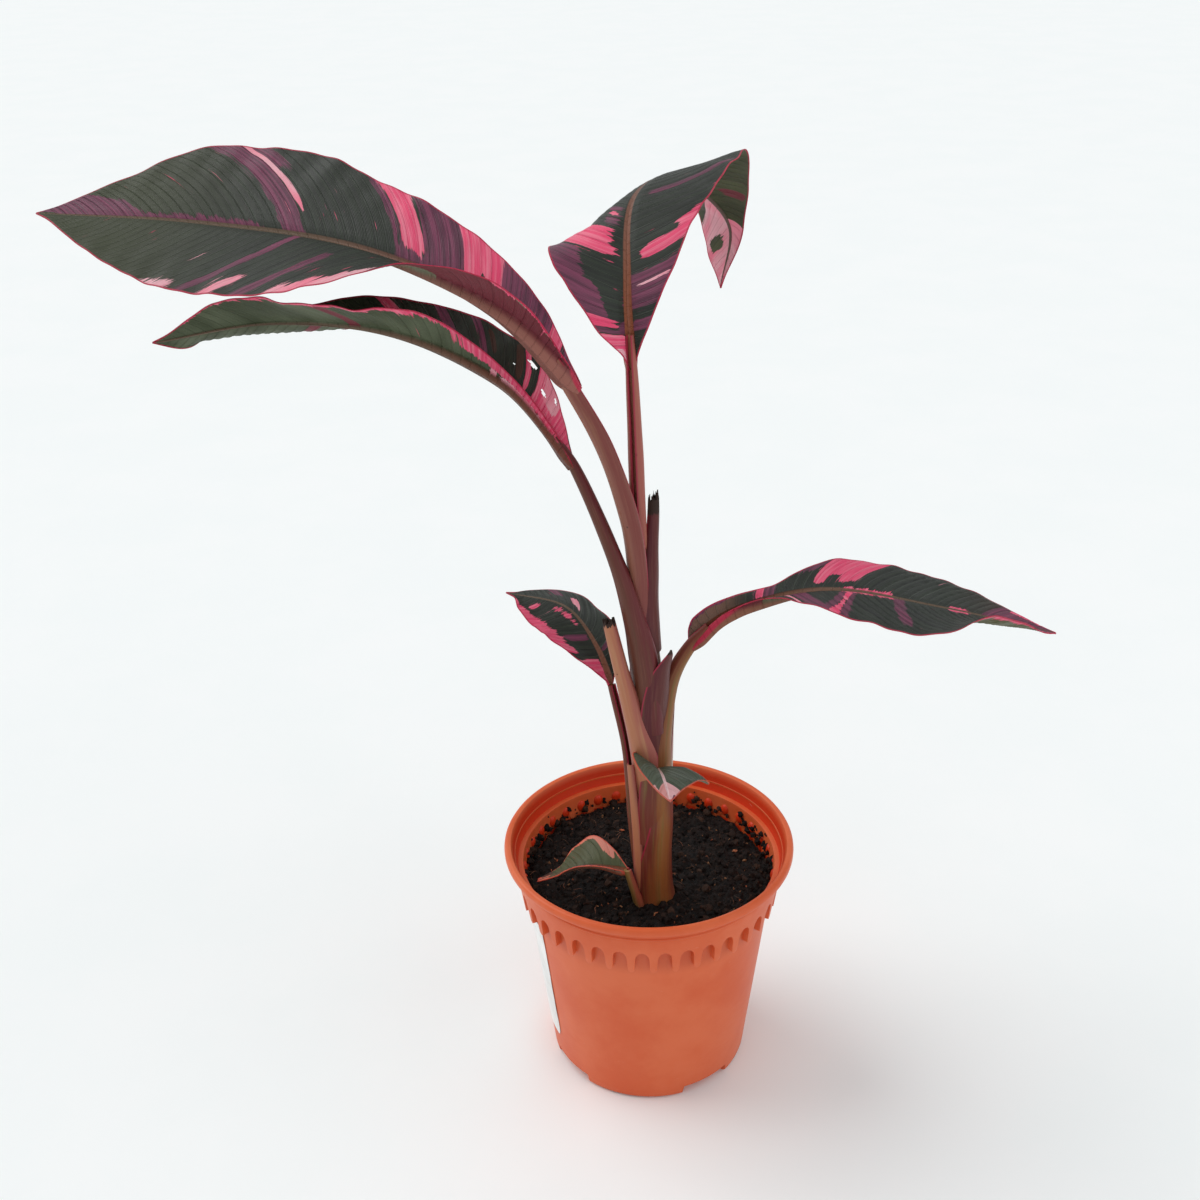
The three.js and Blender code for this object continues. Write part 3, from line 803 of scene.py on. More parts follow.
@dataclass(frozen=True)
class Patch:
    """A sector of a blade between two side veins, from nearer the rib to nearer the margin."""

    tint: Tint
    side: Side
    start: float
    end: float
    inner: float = -0.1
    outer: float = 1.1
    soft: float = 0.03
    lean: float = 0.0
    strength: float = 1.0

    def level(self, vein: np.ndarray, across: np.ndarray) -> np.ndarray:
        """Gives how strongly the patch covers each point, from 0 to 1."""
        reach = np.abs(across)
        place = vein + self.lean * reach
        level = ease((place - self.start) / self.soft + 0.5) * ease((self.end - place) / self.soft + 0.5)
        level = level * ease((reach - self.inner) / 0.3 + 0.5) * ease((self.outer - reach) / 0.2 + 0.5)
        if self.side is not Side.BOTH:
            level = level * (across * self.side.value >= 0)
        return level * self.strength


@dataclass(frozen=True)
class Hole:
    """A small hole or tear: its place along the rib and across, and its two half sizes in millimetres."""

    along: float
    across: float
    length: float
    width: float


@dataclass
class Leaf:
    """One blade: two half blades that leave the midrib at their own rise and curl.

    Stations are [place along the rib, right width, left width, right rise, left rise, right curl, left curl],
    in millimetres and degrees. A rise is the angle at which that half leaves the rib, and a curl is how much
    more it turns up by its margin.
    """

    name: str
    nodes: tuple[str, ...]
    rib: Rows
    face: Colour
    stations: Rows
    rib_radius: Rows
    patches: tuple[Patch, ...] = ()
    under_patches: tuple[Patch, ...] | None = None
    scars: tuple[Patch, ...] = ()
    holes: tuple[Hole, ...] = ()
    olive: Rows = ((0, 0.0), (1, 0.0))
    slant: float = 0.1
    slant_gain: float = 1.3
    wave: float = 1.2
    thickness: float = 0.45
    pitch: float = 6.0
    rows: int = 220
    columns: int = 40
    seed: int = 1
    finish: LeafFinish = field(default_factory=LeafFinish)

    def skin(self) -> dict[str, np.ndarray]:
        """Works out the upper skin and what is known at each of its points.

        Returns:
            Arrays by row and column: point, normal, vein, across, along, reach, spread and radius.
        """
        spine = Spine(self.rib)
        along = np.linspace(0, 1, self.rows + 1)
        centre, _, right, face = spine.frames(along, self.face)
        width_r, width_l, rise_r, rise_l, curl_r, curl_l = smooth_rows(self.stations, along).T
        shares = (np.arange(self.columns + 1) / self.columns) ** 1.3
        middle = (shares[1:] + shares[:-1]) / 2
        step = np.diff(shares)
        halves = {}
        for side, width, rise, curl in ((1, width_r, rise_r, curl_r), (-1, width_l, rise_l, curl_l)):
            angle = np.radians(rise[:, None] + curl[:, None] * middle)
            size = width[:, None] * step
            out = np.cumsum(size * np.cos(angle), axis=1)[..., None] * right[:, None] * side
            up = np.cumsum(size * np.sin(angle), axis=1)[..., None] * face[:, None]
            halves[side] = centre[:, None] + out + up
        point = np.concatenate([halves[-1][:, ::-1], centre[:, None], halves[1]], axis=1)
        across = np.concatenate([-shares[:0:-1], shares])[None, :] * np.ones((self.rows + 1, 1))
        spread = np.where(across < 0, width_l[:, None], width_r[:, None])
        reach = np.abs(across) * spread
        run = along[:, None] * spine.length * np.ones_like(across)
        lean = (self.slant + self.slant_gain * along[:, None]) * (0.75 + 0.25 * np.abs(across))
        vein = run - reach * lean
        radius = smooth_rows(self.rib_radius, along)[:, 0][:, None]

        normal = np.cross(np.gradient(point, axis=1), np.gradient(point, axis=0))
        normal /= np.linalg.norm(normal, axis=2, keepdims=True) + 1e-9
        share = np.abs(across)
        sway = ripple(run + 0.3 * across * spread, (46, 31, 19), self.seed) * np.clip(spread / 40, 0.1, 1)
        lift = self.wave * sway * share**2.2
        between = np.abs((vein / self.pitch) % 1 - 0.5) * 2
        pillow = 0.5 * (1 - between**4) * ease((reach - radius) / 4) * ease((1 - share) * 6)
        groove = 0.45 * radius * np.clip(1 - (reach / radius) ** 2, 0, 1)
        point = point + normal * (lift + pillow - groove)[..., None]
        return {
            "point": point, "normal": normal, "vein": vein, "across": across, "run": run, "reach": reach,
            "spread": spread, "radius": radius * np.ones_like(across), "length": np.float64(spine.length),
        }

    def tints(self, skin: Mapping[str, np.ndarray], patches: Iterable[Patch]) -> np.ndarray:
        """Gives the tint levels, one colour for each point, with later patches over earlier ones."""
        vein = skin["vein"] / skin["length"]
        levels = np.zeros((*vein.shape, 4))
        for patch in patches:
            level = patch.level(vein, skin["across"])
            keep = (1 - level)[..., None]
            if patch.tint is Tint.GREEN:
                levels *= keep
            else:
                levels[..., patch.tint.value + 1 :] *= keep
                channel = levels[..., patch.tint.value]
                levels[..., patch.tint.value] = np.maximum(channel, level)
        levels[..., 3] = 1
        return levels.reshape(-1, 4)

    def build(self) -> bpy.types.Object:
        """Builds the blade as a closed shell with its keel, holes and marks."""
        skin = self.skin()
        piece = add_grid(self.name, skin["point"])
        reach, radius = skin["reach"], skin["radius"]
        keel = 1.15 * radius * np.sqrt(np.clip(1 - (reach / radius) ** 2, 0, 1))
        down = -skin["normal"] * (self.thickness + keel)[..., None]
        edge = skin["spread"] * (1 - np.abs(skin["across"]))
        tip = (skin["length"] - skin["run"]) * 0.5
        share = skin["run"] / skin["length"]
        side = np.sign(skin["across"])
        flow = np.stack([skin["vein"] + 400 * (side < 0), reach, side * 3 + self.seed], -1)
        vein_share = skin["vein"] / skin["length"]
        scar = np.zeros_like(vein_share)
        for patch in self.scars:
            scar = np.maximum(scar, patch.level(vein_share, skin["across"]))
        olive = smooth_rows(self.olive, share.ravel())[:, 0]
        note(piece, "down", down)
        note(piece, "flow", flow)
        note(piece, "edge", np.minimum(edge, tip))
        note(piece, "rib", reach / radius)
        note(piece, "along", share)
        note(piece, "olive", olive)
        note(piece, "scar", scar)
        note(piece, "tint", self.tints(skin, self.patches))
        below = self.under_patches if self.under_patches is not None else self.patches
        note(piece, "tint_below", self.tints(skin, below))
        self.punch(piece, skin)
        upper = thicken(piece, noted(piece, "down", 3))
        under = np.zeros(len(piece.data.vertices))
        under[upper:] = 1
        note(piece, "under", under)
        tint = noted(piece, "tint", 4)
        tint[upper:] = noted(piece, "tint_below", 4)[upper:]
        note(piece, "tint", tint)
        for spare in ("down", "tint_below"):
            piece.data.attributes.remove(piece.data.attributes[spare])
        smooth(piece, 50)
        return piece

    def punch(self, piece: bpy.types.Object, skin: Mapping[str, np.ndarray]) -> None:
        """Takes out the faces inside each hole."""
        if not self.holes:
            return
        gone = np.zeros(skin["across"].shape, bool)
        for hole in self.holes:
            along = (skin["run"] - hole.along * skin["length"]) / hole.length
            across = (skin["across"] - hole.across) * skin["spread"] / hole.width
            gone |= along**2 + across**2 < 1
        flat = gone.ravel()
        for face in piece.data.polygons:
            face.select = all(flat[index] for index in face.vertices)
        for kind in (piece.data.vertices, piece.data.edges):
            kind.foreach_set("select", np.zeros(len(kind), bool))
        select_only(piece)
        bpy.context.tool_settings.mesh_select_mode = (False, False, True)
        bpy.ops.object.mode_set(mode="EDIT")
        bpy.ops.mesh.delete(type="FACE")
        bpy.ops.object.mode_set(mode="OBJECT")

    def hand_in(self) -> None:
        """Builds, dresses and hands over the blade."""
        hand_over(self.build(), "blade", self.nodes, self.finish)


# ---------------------------------------------------------------- stalks and sheaths


@dataclass
class Sheath:
    """A leaf stalk with the sheath under it: a closed shell of crescent section along a spine.

    Rows are [x, y, z, half width, half depth, left reach, right reach, wall]. The reaches are the angles, in
    degrees, that the crescent goes round to each side from the way it faces, which is outwards from the stem.
    """

    name: str
    node: str
    slot: str
    rows: Rows
    bearing: float
    finish: StalkFinish
    dry: Rows = ((0, 0.0), (1, 0.0))
    ragged: float = 0.0
    steps: int = 90
    columns: int = 28
    seed: int = 1

    def build(self) -> bpy.types.Object:
        """Builds the shell from its foot to its end."""
        spine = Spine(self.rows)
        places = np.linspace(0, 1, self.steps + 1)
        way = math.radians(self.bearing)
        centre, tangent, right, out = spine.frames(places, (math.sin(way), -math.cos(way), 0))
        table = np.array([[knot, *row[3:]] for knot, row in zip(spine.knots, self.rows)])
        wide, deep, left, right_reach, wall = smooth_rows(table, places).T
        share = np.linspace(-1, 1, 2 * self.columns + 1)
        reach = np.where(share < 0, left[:, None], right_reach[:, None])
        angle = np.radians(share * reach)
        bulge = 1 + 0.02 * ripple(places * spine.length, (70, 41), self.seed)[:, None]
        side = (wide[:, None] * np.sin(angle) * bulge)[..., None] * right[:, None]
        front = (deep[:, None] * np.cos(angle) * bulge)[..., None] * out[:, None]
        point = centre[:, None] + side + front
        tear = self.ragged * (ripple(share * 10, (4.1, 2.3, 1.1), self.seed + 7) - 1)
        end = ease((places - 0.93) / 0.07)[:, None, None]
        point = point + tangent[:, None] * tear[None, :, None] * end
        piece = add_grid(self.name, point)
        inward = -(np.sin(angle)[..., None] * right[:, None] + np.cos(angle)[..., None] * out[:, None])
        thin = 0.25 + 0.75 * np.clip(1 - share[None, :] ** 2, 0, 1) ** 0.5
        down = inward * (wall[:, None] * thin)[..., None]
        arc = np.radians(reach) * (wide + deep)[:, None] / 2
        run = places[:, None] * spine.length * np.ones_like(angle)
        note(piece, "flow", np.stack([arc * share, run, np.full_like(run, self.seed * 13.0)], -1))
        note(piece, "turn", share[None, :] * np.ones_like(angle))
        note(piece, "edge", arc * (1 - np.abs(share)))
        note(piece, "dry", smooth_rows(self.dry, places) * np.ones_like(angle))
        note(piece, "inner", np.zeros(angle.size))
        upper = thicken(piece, down.reshape(-1, 3))
        inner = noted(piece, "inner")
        inner[upper:] = 1
        note(piece, "inner", inner)
        smooth(piece, 50)
        return piece

    def hand_in(self) -> None:
        """Builds, dresses and hands over the stalk."""
        hand_over(self.build(), self.slot, (self.node,) if self.node else (), self.finish)


# ---------------------------------------------------------------- pot, label and compost


@dataclass
class Pot:
    """The moulded nursery pot: tapered wall, rolled lip, fringed collar, inner bosses and notched foot."""

    height: float
    rim: float
    slope: float = 0.116
    wall_foot: float = 69.2
    wall: float = 1.6
    floor: float = 2.2
    collar_top: float = 160.5
    fingers: int = 38
    notch_angle: float = 34
    notch_width: float = 32
    notch_height: float = 8
    notch_depth: float = 10
    columns: int = 360
    inside_points: int = 14
    finish: PlasticFinish = field(default_factory=PlasticFinish)

    def radius(self, height: float) -> float:
        """Gives the plain wall's outer radius at a height."""
        return self.wall_foot + self.slope * height

    def profile(self) -> list[tuple[float, float]]:
        """Gives the section as [radius, height], up the outside from the middle and down the inside."""
        top, rim = self.height, self.rim
        foot = self.radius(0) - 1.2
        outside = [(0, 1.2), (30, 1.2), (52, 1.2), (54, 0), (foot - 9, 0), (foot - 3, 0), (foot - 1.2, 0.4)]
        outside += [(self.radius(2) - 0.5, 1.6), (self.radius(4), 4)]
        outside += [(self.radius(7.6), 7.6), (self.radius(8.4), 8.4)]
        outside += [(self.radius(z), z) for z in (14, 30, 60, 90, 110, 124, 132, 140, 148, 155)]
        collar = self.radius(self.collar_top) + 4.6
        outside += [(collar - 1.2, 159), (collar, 160.2), (collar + 0.7, 161)]
        outside += [(collar + 0.6, 161.8), (collar + 0.1, 162.4)]
        outside += [(collar + 0.3, top - 8), (rim - 1.8, top - 6)]
        outside += [(rim - 0.5, top - 5.4), (rim - 0.05, top - 4.4)]
        outside += [(rim, top - 3), (rim - 0.2, top - 1.6), (rim - 0.8, top - 0.6), (rim - 1.8, top - 0.05)]
        inside = [(rim - 3, top), (rim - 4.4, top - 0.5), (rim - 5.4, top - 2), (rim - 6, top - 5)]
        inside += [(rim - 9.3, 160), (self.radius(150) - self.wall + 2.2, 150)]
        inside += [(self.radius(141) - self.wall + 1, 141)]
        inside += [(self.radius(z) - self.wall, z) for z in (132, 110, 80, 50, 20)]
        inside += [(self.radius(10) - self.wall - 1, 10), (56, 10), (30, 10), (0, 10)]
        return outside + inside

    def build_wall(self) -> bpy.types.Object:
        """Turns the section into the wall and cuts the drainage notches into the foot."""
        section = np.array(self.profile(), float)
        angle = np.radians(np.arange(self.columns + 1) * 360 / self.columns - 90)
        radius = np.repeat(section[:, :1], len(angle), axis=1)
        height = np.repeat(section[:, 1:], len(angle), axis=1)
        degrees = (np.degrees(angle) + 90) % 90
        gap = self.notch_angle - self.notch_width / 2
        in_notch = (degrees > gap + 0.5) & (degrees < gap + self.notch_width - 0.5)
        first, last = 4, 9
        deep = self.radius(0) - self.notch_depth
        cut = [(deep, 1.0), (deep, 5), (deep, self.notch_height - 0.6), (deep + 0.6, self.notch_height)]
        cut += [(self.radius(8) - 0.7, self.notch_height)]
        for index, (r, z) in zip(range(first, last + 1), cut + [(self.radius(8.2), self.notch_height + 0.2)]):
            radius[index, in_notch] = r
            height[index, in_notch] = z
        shallow = (np.degrees(angle) + 90 > 334) & (np.degrees(angle) + 90 < 351)
        height[3:8, shallow] = np.maximum(height[3:8, shallow], 1.4)
        point = np.stack([radius * np.cos(angle), radius * np.sin(angle), height], -1)
        piece = add_grid("pot_wall", point)
        inner = np.zeros(radius.shape)
        inner[-self.inside_points :] = 1
        inner[-self.inside_points] = 0.5
        # The deep attribute marks the band behind the collar, where the finish paints shade into the niches.
        depth = ease((height - 129) / 2) * ease((161 - height) / 3)
        depth[-self.inside_points :] = 0
        note(piece, "deep", depth)
        note(piece, "inner", inner)
        seal(piece)
        smooth(piece, 32)
        return piece

    def build_collar(self) -> bpy.types.Object:
        """Builds the raised collar, whose lower edge is a fringe of rounded fingers between arched niches."""
        half_niche, side, arch_top, shoulder, tip, notch = 0.315, 0.015, 149.0, 142.5, 130.8, 134.6
        outline = []
        for k in range(7):
            turn = math.pi * k / 6
            outline.append((-math.cos(turn) * half_niche, shoulder + math.sin(turn) * (arch_top - shoulder)))
        finger = 0.5 - half_niche
        for k in range(1, 8):
            turn = math.pi * k / 8
            outline.append((0.5 - math.cos(turn) * (finger - side), notch - math.sin(turn) * (notch - tip)))
        pitch = 2 * math.pi / self.fingers
        start = -math.pi / 2 + pitch / 2
        angle, low = [], []
        for count in range(self.fingers):
            for share, height in outline:
                angle.append(start + (count + share) * pitch)
                low.append(height)
        angle.append(angle[0] + 2 * math.pi)
        low.append(low[0])
        rise = np.linspace(0, 1, 6)[:, None]
        height = np.array(low)[None, :] * (1 - rise) + self.collar_top * rise
        stand = 4.6 - 0.4 * ease((148 - height) / 18)
        radius = self.wall_foot + self.slope * height + stand
        turn = np.array(angle)[None, :] * np.ones_like(rise)
        point = np.stack([radius * np.cos(turn), radius * np.sin(turn), height], -1)
        piece = add_grid("pot_collar", point)
        seal(piece)
        inward = -read_points(piece) * (1, 1, 0)
        thicken(piece, inward / np.linalg.norm(inward, axis=1, keepdims=True) * 5.0)
        note(piece, "inner", np.zeros(len(piece.data.vertices)))
        # No painted niche shade on the collar.
        note(piece, "deep", np.zeros(len(piece.data.vertices)))
        edges = {"limit_method": "ANGLE", "angle_limit": math.radians(50), "segments": 3}
        apply_modifier(piece, "BEVEL", width=0.8 * MM, **edges)
        smooth(piece, 40)
        return piece

    def build_bosses(self) -> bpy.types.Object:
        """Builds the low round bosses that the fringe leaves on the inside of the wall."""
        bpy.ops.object.select_all(action="DESELECT")
        bpy.ops.mesh.primitive_uv_sphere_add(segments=16, ring_count=10, radius=1)
        dome = bpy.context.object
        places = []
        for count in range(self.fingers):
            turn = 2 * math.pi * (count + 0.5) / self.fingers - math.pi / 2
            height = 151.5
            radius = self.radius(height) - self.wall + 2.0
            spot = Vector((math.cos(turn) * radius, math.sin(turn) * radius, height)) * MM
            size = Matrix.Diagonal((2.4 * MM, 3.8 * MM, 4.6 * MM, 1))
            places.append(Matrix.Translation(spot) @ Matrix.Rotation(turn, 4, "Z") @ size)
        piece = scatter("pot_bosses", dome, places)
        note(piece, "inner", np.ones(len(piece.data.vertices)))
        # No painted niche shade on the bosses.
        note(piece, "deep", np.zeros(len(piece.data.vertices)))
        return piece

    def hand_in(self) -> None:
        """Builds, dresses and hands over the pot's pieces."""
        for piece in (self.build_wall(), self.build_collar(), self.build_bosses()):
            hand_over(piece, "pot_plastic", ("pot",), self.finish)


@dataclass
class Label:
    """The blank stick-on label that wraps round the wall."""

    pot: Pot
    bottom: float
    top: float
    start: float = -62
    end: float = -126
    corner: float = 4.0
    thickness: float = 0.22
    finish: PaperFinish = field(default_factory=PaperFinish)

    def hand_in(self) -> None:
        """Builds, dresses and hands over the label."""
        across = np.linspace(0, 1, 49)[None, :]
        up = np.linspace(0, 1, 41)[:, None]
        width = math.radians(self.start - self.end) * self.pot.radius((self.bottom + self.top) / 2)
        inset = np.minimum(across, 1 - across) * width
        trim = np.clip(self.corner - inset, 0, self.corner)
        cut = self.corner - np.sqrt(np.clip(self.corner**2 - trim**2, 0, None))
        height = self.bottom + cut + up * (self.top - self.bottom - 2 * cut)
        turn = np.radians(self.end - 90 + across * (self.start - self.end)) * np.ones_like(up)
        lift = 0.35 + 0.12 * ripple(height + 40 * across, (23, 61), 3)
        radius = self.pot.wall_foot + self.pot.slope * height + lift + self.thickness
        point = np.stack([radius * np.cos(turn), radius * np.sin(turn), height], -1)
        piece = add_grid("label_sheet", point)
        inward = -np.stack([np.cos(turn), np.sin(turn), np.zeros_like(turn)], -1)
        thicken(piece, (inward * self.thickness).reshape(-1, 3))
        smooth(piece, 40)
        hand_over(piece, "label_paper", ("label",), self.finish)


@dataclass
class Compost:
    """The compost with its crumbs, wood chips and fibres."""

    pot: Pot
    level: float
    drop: float = 3.5
    flat: float = 56
    stem: tuple[float, float] = (3, -31)
    rings: int = 110
    columns: int = 330
    seed: int = 11
    finish: SoilFinish = field(default_factory=SoilFinish)
    clods: int = 900
    stuck_crumbs: int = 210
    grit: int = 2600
    chips: int = 90
    fibres: int = 330
    clear_of_stem: float = 15

    def edge(self, turn: float) -> float:
        """Gives how far out the compost reaches at an angle: just short of the wall, pulled in raggedly by
        noise.
        """
        ragged = noise.noise(Vector((math.cos(turn) * 4, math.sin(turn) * 4, 5)))
        return self.pot.radius(self.level) - self.pot.wall - 1.0 + 2.6 * min(ragged, 0.2)

    def height(self, x: float, y: float) -> float:
        """Gives the uneven surface's height at a place."""
        radius = math.hypot(x, y)
        limit = self.pot.radius(self.level)
        share = min(max((radius - self.flat) / (limit - self.flat), 0), 1)
        base = self.level - self.drop * share * share
        near = math.hypot(x - self.stem[0], y - self.stem[1])
        base += 2.2 * math.exp(-((near - 15) / 9) ** 2)
        lumps = noise.voronoi(Vector((x / 9, y / 9, 1)))[0]
        clods = 5.0 * (lumps[1] - lumps[0])
        small = noise.voronoi(Vector((x / 3.4, y / 3.4, 4)))[0]
        crumbs = 2.0 * (small[1] - small[0])
        soft = 2.4 * noise.noise(Vector((x / 24, y / 24, 2)))
        grit = 0.7 * noise.fractal(Vector((x / 2.2, y / 2.2, 9)), 1.0, 2.0, 3)
        return base - 2.6 + clods + crumbs + soft + grit

    def build_bed(self) -> bpy.types.Object:
        """Builds the bed of compost, closed below."""
        rows = []
        for ring in range(self.rings + 1):
            share = (ring / self.rings) ** 0.8
            row = []
            for column in range(self.columns + 1):
                turn = -2 * math.pi * (column % self.columns) / self.columns
                radius = share * self.edge(turn)
                x, y = radius * math.cos(turn), radius * math.sin(turn)
                row.append((x, y, self.height(x, y)))
            rows.append(row)
        point = np.array(rows)
        point[0, :, 2] = point[0, :, 2].mean()
        skirt = point[-1:].copy()
        skirt[..., 2] = self.level - 30
        skirt[..., :2] *= 0.9
        middle = skirt.copy()
        middle[..., :2] = 0
        piece = add_grid("compost_bed", np.concatenate([point, skirt, middle]))
        seal(piece)
        note(piece, "share", np.zeros(len(piece.data.vertices)))
        smooth(piece, 60)
        return piece

    def spots(
        self, count: int, dice: random.Random, spread: float = 1.0
    ) -> Iterable[tuple[float, float, float]]:
        """Picks places on the surface, away from the stem."""
        found = 0
        while found < count:
            turn = dice.random() * 2 * math.pi
            radius = math.sqrt(dice.random()) * self.edge(turn) * spread
            x, y = radius * math.cos(turn), radius * math.sin(turn)
            if math.hypot(x - self.stem[0], y - self.stem[1]) > self.clear_of_stem:
                found += 1
                yield x, y, self.height(x, y)

    def lump(self, rough: float, faces: int, seed: int) -> bpy.types.Object:
        """Models one rough crumb of about 1 unit."""
        bpy.ops.object.select_all(action="DESELECT")
        bpy.ops.mesh.primitive_ico_sphere_add(subdivisions=faces, radius=1)
        crumb = bpy.context.object
        for vertex in crumb.data.vertices:
            vertex.co *= 1 + rough * noise.noise(vertex.co * 1.7 + Vector((seed, 0, 0)))
        return crumb

    def place(self, dice: random.Random, spot: Sequence[float], sizes: Colour, sink: float) -> Matrix:
        """Turns a crumb any way and lays it at a spot."""
        turn = Euler([dice.random() * 6.3 for _ in range(3)]).to_matrix().to_4x4()
        move = Matrix.Translation(Vector((spot[0], spot[1], spot[2] - sink)) * MM)
        return move @ turn @ Matrix.Diagonal((*[size * MM for size in sizes], 1))

    def build_crumbs(self) -> list[bpy.types.Object]:
        """Scatters clods, grit and stuck crumbs."""
        dice = random.Random(self.seed)
        clods = []
        for spot in self.spots(self.clods, dice):
            size = 1.2 + 3.0 * dice.random() ** 2.4
            clods.append(self.place(dice, spot, (size, size * 0.8, size * 0.6), 0.2 * size))
        for _ in range(self.stuck_crumbs):
            turn = dice.choice((dice.gauss(1.35, 0.8), dice.gauss(0.1, 0.35), dice.gauss(3.0, 0.4)))
            height = self.level - 2 + abs(dice.gauss(0, 3.6))
            radius = self.pot.radius(height) - self.pot.wall + 1.2 * (height > 150)
            spot = (radius * math.cos(turn), radius * math.sin(turn), height)
            size = 0.7 + 2.6 * dice.random() ** 2
            clods.append(self.place(dice, spot, (size, size * 0.8, size * 0.7), 0))
        pieces = [scatter("compost_clods", self.lump(0.9, 2, 3), clods)]
        grit = []
        for spot in self.spots(self.grit, dice):
            size = 0.45 + 0.6 * dice.random()
            grit.append(self.place(dice, spot, (size, size * 0.8, size * 0.6), 0))
        pieces.append(scatter("compost_grit", self.lump(0.8, 1, 8), grit))
        return pieces

    def build_chips(self) -> bpy.types.Object:
        """Scatters light chips of bark and husk."""
        dice = random.Random(self.seed + 1)
        chips = []
        for spot in self.spots(self.chips, dice, 0.97):
            size = 0.7 + 1.4 * dice.random() ** 2
            chips.append(self.place(dice, spot, (size, size * 0.6, size * 0.3), -0.5))
        return scatter("compost_chips", self.lump(0.7, 2, 21), chips)

    def build_fibres(self) -> bpy.types.Object:
        """Scatters bent root and coir fibres."""
        bend = np.linspace(0, 1, 9)
        ring = np.arange(6) * 2 * np.pi / 5
        body = [[(10 * s - 5, 1.6 * math.sin(3.1 * s), 0.9 * math.sin(5 * s))] * 6 for s in bend]
        point = np.array(body, float)
        point[..., 1] += 0.22 * np.cos(ring) * np.sin(math.pi * np.clip(bend, 0.02, 0.98))[:, None]
        point[..., 2] += 0.22 * np.sin(ring) * np.sin(math.pi * np.clip(bend, 0.02, 0.98))[:, None]
        fibre = add_grid("fibre", point / MM)
        seal(fibre, 1)
        dice = random.Random(self.seed + 2)
        places = []
        for spot in self.spots(self.fibres, dice):
            size = 0.25 + 0.75 * dice.random() ** 1.5
            move = Matrix.Translation(Vector((spot[0], spot[1], spot[2] + 0.4)) * MM)
            lean = Euler((dice.random() * 6.3, dice.gauss(0, 0.35), dice.random() * 6.3)).to_matrix().to_4x4()
            places.append(move @ lean @ Matrix.Diagonal((size * MM, size * MM, min(1, size * 1.3) * MM, 1)))
        return scatter("compost_fibres", fibre, places)

    def hand_in(self) -> None:
        """Builds, dresses and hands over the compost's pieces."""
        hand_over(self.build_bed(), "compost", ("compost",), self.finish)
        for piece in self.build_crumbs():
            hand_over(piece, "compost", (), self.finish)
        hand_over(self.build_chips(), "compost", (), CHIP_SKIN)
        hand_over(self.build_fibres(), "compost", (), FIBRE_SKIN)


# ---------------------------------------------------------------- the plant


CHIP_SKIN = SoilFinish(
    "compost_chips", screen(120, 84, 58), screen(196, 140, 100), screen(214, 110, 74), 700, 0.7
)
FIBRE_SKIN = SoilFinish(
    "compost_fibres", screen(70, 50, 40), screen(128, 96, 76), screen(168, 110, 84), 500, 0.6
)
OLIVE_STALK = StalkFinish("stalk_olive", screen(116, 104, 52), screen(150, 80, 58), screen(134, 124, 70))
ROSE_STALK = StalkFinish("stalk_rose", screen(150, 98, 80), screen(122, 60, 54), screen(148, 102, 76))
MAROON_STALK = StalkFinish("stalk_maroon", screen(96, 50, 36), screen(98, 34, 38), screen(84, 62, 34))
TAN_STALK = StalkFinish("stalk_tan", screen(176, 114, 82), screen(160, 88, 78), screen(184, 132, 96))
GOLD_STALK = StalkFinish("stalk_gold", screen(142, 90, 46), screen(108, 48, 36), screen(118, 100, 50))
CORE_SKIN = StalkFinish("stem_core", screen(96, 66, 40), screen(92, 42, 34), screen(98, 90, 50))
DARK_SHEATH = StalkFinish("sheath_dark", screen(88, 34, 32), screen(84, 24, 32), screen(92, 66, 40))
PALE_SHEATH = StalkFinish("sheath_pale", screen(136, 118, 86), screen(180, 152, 138), screen(158, 146, 112))


